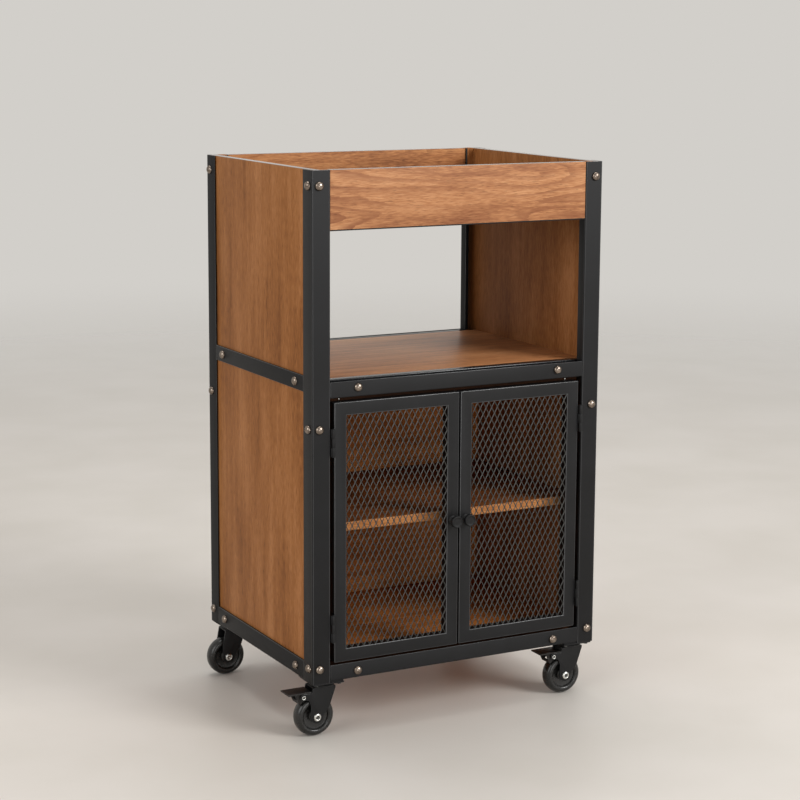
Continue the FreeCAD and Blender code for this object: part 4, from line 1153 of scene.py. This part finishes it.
@dataclass
class Casters:
    """Swivel casters: plates, forks, dished wheels, axles, and brake levers on the front two.

    Each hollow in a bolt's or rivet's head is an inset and a depth; a depth below zero is a raised middle.
    """

    frame: dict
    wheel_radius: float = 37.5
    wheel_half: float = 13.0
    hub_half: float = 14.2
    bore: float = 4.05
    head_radius: float = 7.5
    head_depth: float = 3.0
    bolt_hollows: tuple[tuple[float, float], ...] = ((1.7, 1.0), (1.3, -0.7))
    rivet_radius: float = 3.7
    rivet_hollows: tuple[tuple[float, float], ...] = ((1.2, 0.9),)
    rim_width: float = 2.0
    rim_depth: float = 0.3
    aim: float = 1.0
    plate_edge: float = 0.5
    sheet_edge: float = 0.6
    axle_edge: float = 0.35

    def build(self) -> None:
        """Builds every caster."""
        plates = Workpiece.refined("caster_plates_pressed", self.frame["nodes"]["caster_plates"])
        plates.soften(self.plate_edge).finish(Finishes.caster_coat, "cart", "caster_steel", "caster_plates")
        for end, side in product(End, Side):
            tag = f"{end.word}_{side.word}"
            self.pressed(f"{tag}_caster_fork", f"{tag}_fork", Finishes.caster_coat, f"{tag}_caster", "caster_steel")
            self.axle(tag, end)
            self.wheel(tag)
        for side in Side:
            tag = f"front_{side.word}_brake"
            self.pressed(f"{tag}_lever", f"{tag}_lever", Finishes.lever_coat, tag, "lever_steel")

    def pressed(self, node: str, name: str, finish: Finish, body: str, slot: str) -> None:
        """Refines a fork or lever pressed from sheet and breaks its edges.

        Args:
            node: The node that it stands for.
            name: The piece's name without its ending.
            finish: Its finish.
            body: The body that it rides on.
            slot: The record's material slot.
        """
        piece = Workpiece.refined(f"{name}_pressed", self.frame["nodes"][node])
        # The broken edges take a paler coat as a painted highlight.
        piece.soften(self.sheet_edge, steps=3, edge=Finishes.rubbed_edge).finish(finish, body, slot, node)

    def axle(self, tag: str, end: End) -> None:
        """Refines an axle set: the bolt's head is hollowed to a raised ring, and so is the brake rivet's.

        Args:
            tag: The caster's end and side.
            end: Front or rear.
        """
        node = f"{tag}_axle"
        low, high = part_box(node)
        piece = Workpiece.refined(f"{node}_plated", self.frame["nodes"][node]).soften(self.axle_edge)
        head, rivet = self.head_radius * MM, self.rivet_radius * MM
        heads = [(Vector((high.x - head, low.y, low.z + head)), head, self.bolt_hollows)]
        if end is End.FRONT:
            heads.append((Vector((low.x + rivet, low.y, high.z - rivet)), rivet, self.rivet_hollows))
        for centre, radius, hollows in heads:
            back = centre.y + self.head_depth * MM
            piece.pick(
                Pick.FACES,
                lambda point, normal, centre=centre, back=back: normal.y < -FACING
                and point.y < back
                and across(point, centre) < self.aim * MM,
            )
            for inset, depth in hollows:
                bpy.ops.mesh.inset(thickness=inset * MM)
                bpy.ops.mesh.extrude_region_move(TRANSFORM_OT_translate={"value": (0, depth * MM, 0)})
            piece.rest()
            hollow = radius - self.rim_width * MM
            # The faces inside the hollow take a darker zinc as painted shade.
            piece.capped(
                Finishes.dull_zinc,
                lambda point, normal, centre=centre, back=back, hollow=hollow: across(point, centre) < hollow
                and centre.y + self.rim_depth * MM < point.y < back,
            )
        piece.finish(Finishes.zinc, f"{tag}_caster", "zinc", node)

    def wheel(self, tag: str) -> None:
        """Turns one wheel from its bore out over the dished side and the tread, and back.

        Args:
            tag: The caster's end and side.
        """
        node = f"{tag}_wheel"
        low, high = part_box(node)
        hub = ((self.bore, 0.0), (8.4, 0.0), (9.0, 0.6))
        # Radius, and how far the surface lies behind the tread's widest place: dish, bead, tread.
        side = (
            *((10.0, 3.6), (12.0, 5.0), (21.5, 5.0), (23.6, 4.4), (25.6, 1.0), (27.4, 0.1)),
            *((29.6, 0.0), (32.0, 0.5), (34.2, 1.9), (35.9, 4.0), (37.0, 6.8), (self.wheel_radius, 10.2)),
        )
        flank = [(radius, self.hub_half - behind) for radius, behind in hub]
        flank += [(radius, self.wheel_half - behind) for radius, behind in side]
        over = flank + [(radius, -height) for radius, height in reversed(flank)]
        centre = (low + high) / 2
        piece = Workpiece.turned(f"{node}_moulded", over, centre, steps=72, lying=True)
        piece.pick(Pick.FACES, lambda middle, normal: across(middle, centre) < NEAR and abs(normal.y) > FACING)
        bpy.ops.mesh.bridge_edge_loops()
        piece.rest().finish(Finishes.rubber, f"{tag}_wheel_body", "caster_tread", node, smooth=35.0)


@dataclass
class SmallParts:
    """Hinges, catch, pins, screws, foot plates and the tray's sheet floor."""

    frame: dict
    edge: float = 0.25

    def build(self) -> None:
        """Refines each part from its node."""
        rows = (
            ("post_hinge_leaves", "cart", "door_steel", Finishes.door_coat),
            ("hinge_pins", "cart", "door_steel", Finishes.door_coat),
            ("left_door_hinge_leaves", "left_door", "door_steel", Finishes.door_coat),
            ("right_door_hinge_leaves", "right_door", "door_steel", Finishes.door_coat),
            ("stretcher_screws", "cart", "bolt_nickel", Finishes.zinc),
            # The caster bolts under the cart take the darker zinc as painted shade.
            ("caster_bolts", "cart", "zinc", Finishes.dull_zinc),
            ("shelf_pins", "cart", "zinc", Finishes.zinc),
            ("door_catch", "cart", "catch_plastic", Finishes.catch_plastic),
            ("foot_plates", "cart", "frame_steel", Finishes.frame_coat),
            ("tray_floor", "cart", "frame_steel", Finishes.frame_coat),
        )
        for node, body, slot, finish in rows:
            piece = Workpiece.refined(f"{node}_finished", self.frame["nodes"][node]).soften(self.edge)
            piece.finish(finish, body, slot, node)


@dataclass
class Studio:
    """A pale floor that fades into the background, soft lamps, and the camera at the photograph's angle."""

    floor_level: float = -655.0
    floor_gap: float = 0.2
    floor_radius: float = 7000.0
    floor_corners: int = 96
    back_colour: str = "#D2CFCA"
    room_colour: str = "#E8E6E2"
    room_strength: float = 0.36
    film_width: float = 36.0
    focal_px: float = 2051.7
    frame_px: float = 800.0
    centre_px: float = 360.0
    place: tuple[float, float, float] = (-1835.8, -3428.1, 626.6)
    yaw: float = -28.156
    pitch: float = 80.64
    roll: float = 0.307
    # How near and how far the camera sees, in metres.
    clip: tuple[float, float] = (0.05, 60.0)

    def build(self) -> None:
        """Sets up floor, world, lamps and camera."""
        self.floor()
        self.world()
        self.lamps()
        self.camera()

    def floor(self) -> None:
        """Lays a round floor whose rim fades away, a hair below the wheels."""
        Workpiece.clear_bench()
        place = (0, 0, (self.floor_level - self.floor_gap) * MM)
        radius = self.floor_radius * MM
        bpy.ops.mesh.primitive_circle_add(vertices=self.floor_corners, radius=radius, fill_type="NGON", location=place)
        floor = Workpiece(bpy.context.object, "pale_floor")
        floor.settle()
        floor.item.data.materials.append(Finishes.concrete.material())

    def world(self) -> None:
        """Sets a soft even light, and a pale background for what is seen straight, mirrored or through glass."""
        world = bpy.data.worlds.new("pale_room")
        bpy.context.scene.world = world
        tree = emptied(world)
        rays = add(tree, "LightPath").outputs
        seen = rays["Is Camera Ray"]
        for ray in (rays["Is Glossy Ray"], rays["Is Transmission Ray"]):
            seen = add(tree, "Math", {"operation": "MAXIMUM"}, {0: seen, 1: ray})
        light = {"Color": linear(self.room_colour), "Strength": self.room_strength}
        room = add(tree, "Background", sockets=light)
        back = add(tree, "Background", sockets={"Color": linear(self.back_colour)})
        both = add(tree, "MixShader", sockets={0: seen, 1: room, 2: back})
        add(tree, "OutputWorld", sockets={"Surface": both})

    def lamps(self) -> None:
        """Hangs a broad window light at the front right, weaker ones low in front and left, and a ceiling light.

        Each row has the lamp's name, its place and width in metres, and its power in watts.
        """
        rows = (
            ("window_light", (3.3, -5.4, 3.15), 3.0, 337.0),
            ("low_front_light", (-0.6, -6.3, 0.1), 2.4, 70.0),
            ("left_light", (-5.4, -1.8, 2.1), 3.6, 112.0),
            ("ceiling_light", (0.45, 0.9, 5.1), 3.9, 169.0),
        )
        for name, place, width, power in rows:
            lamp = bpy.data.lights.new(name, "AREA")
            lamp.shape, lamp.size, lamp.energy = "SQUARE", width, power
            item = bpy.data.objects.new(name, lamp)
            item.location = place
            item.rotation_euler = (-Vector(place)).to_track_quat("-Z", "Y").to_euler()
            bpy.context.scene.collection.objects.link(item)

    def camera(self) -> None:
        """Sets the camera where the photograph was taken from."""
        data = bpy.data.cameras.new("photograph_view")
        data.sensor_width = self.film_width
        data.lens = self.focal_px / self.frame_px * self.film_width
        data.shift_y = (self.centre_px - self.frame_px / 2) / self.frame_px
        data.clip_start, data.clip_end = self.clip
        item = bpy.data.objects.new("photograph_view", data)
        item.matrix_world = Matrix.Translation(Vector(self.place) * MM)
        for angle, axis in ((self.yaw, "Z"), (self.pitch, "X"), (self.roll, "Z")):
            item.matrix_world = item.matrix_world @ Matrix.Rotation(math.radians(angle), 4, axis)
        bpy.context.scene.collection.objects.link(item)
        bpy.context.scene.camera = item


def main() -> None:
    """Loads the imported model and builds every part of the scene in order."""
    logging.basicConfig(level=logging.INFO, format="%(name)s: %(message)s")
    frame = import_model()
    SteelFrame().build()
    Boards(frame).build()
    for side in Side:
        Door(side).build()
    Bolts().build()
    Casters(frame).build()
    SmallParts(frame).build()
    Studio().build()
    bpy.context.scene.view_settings.view_transform = "Standard"


if __name__ == "__main__":
    main()
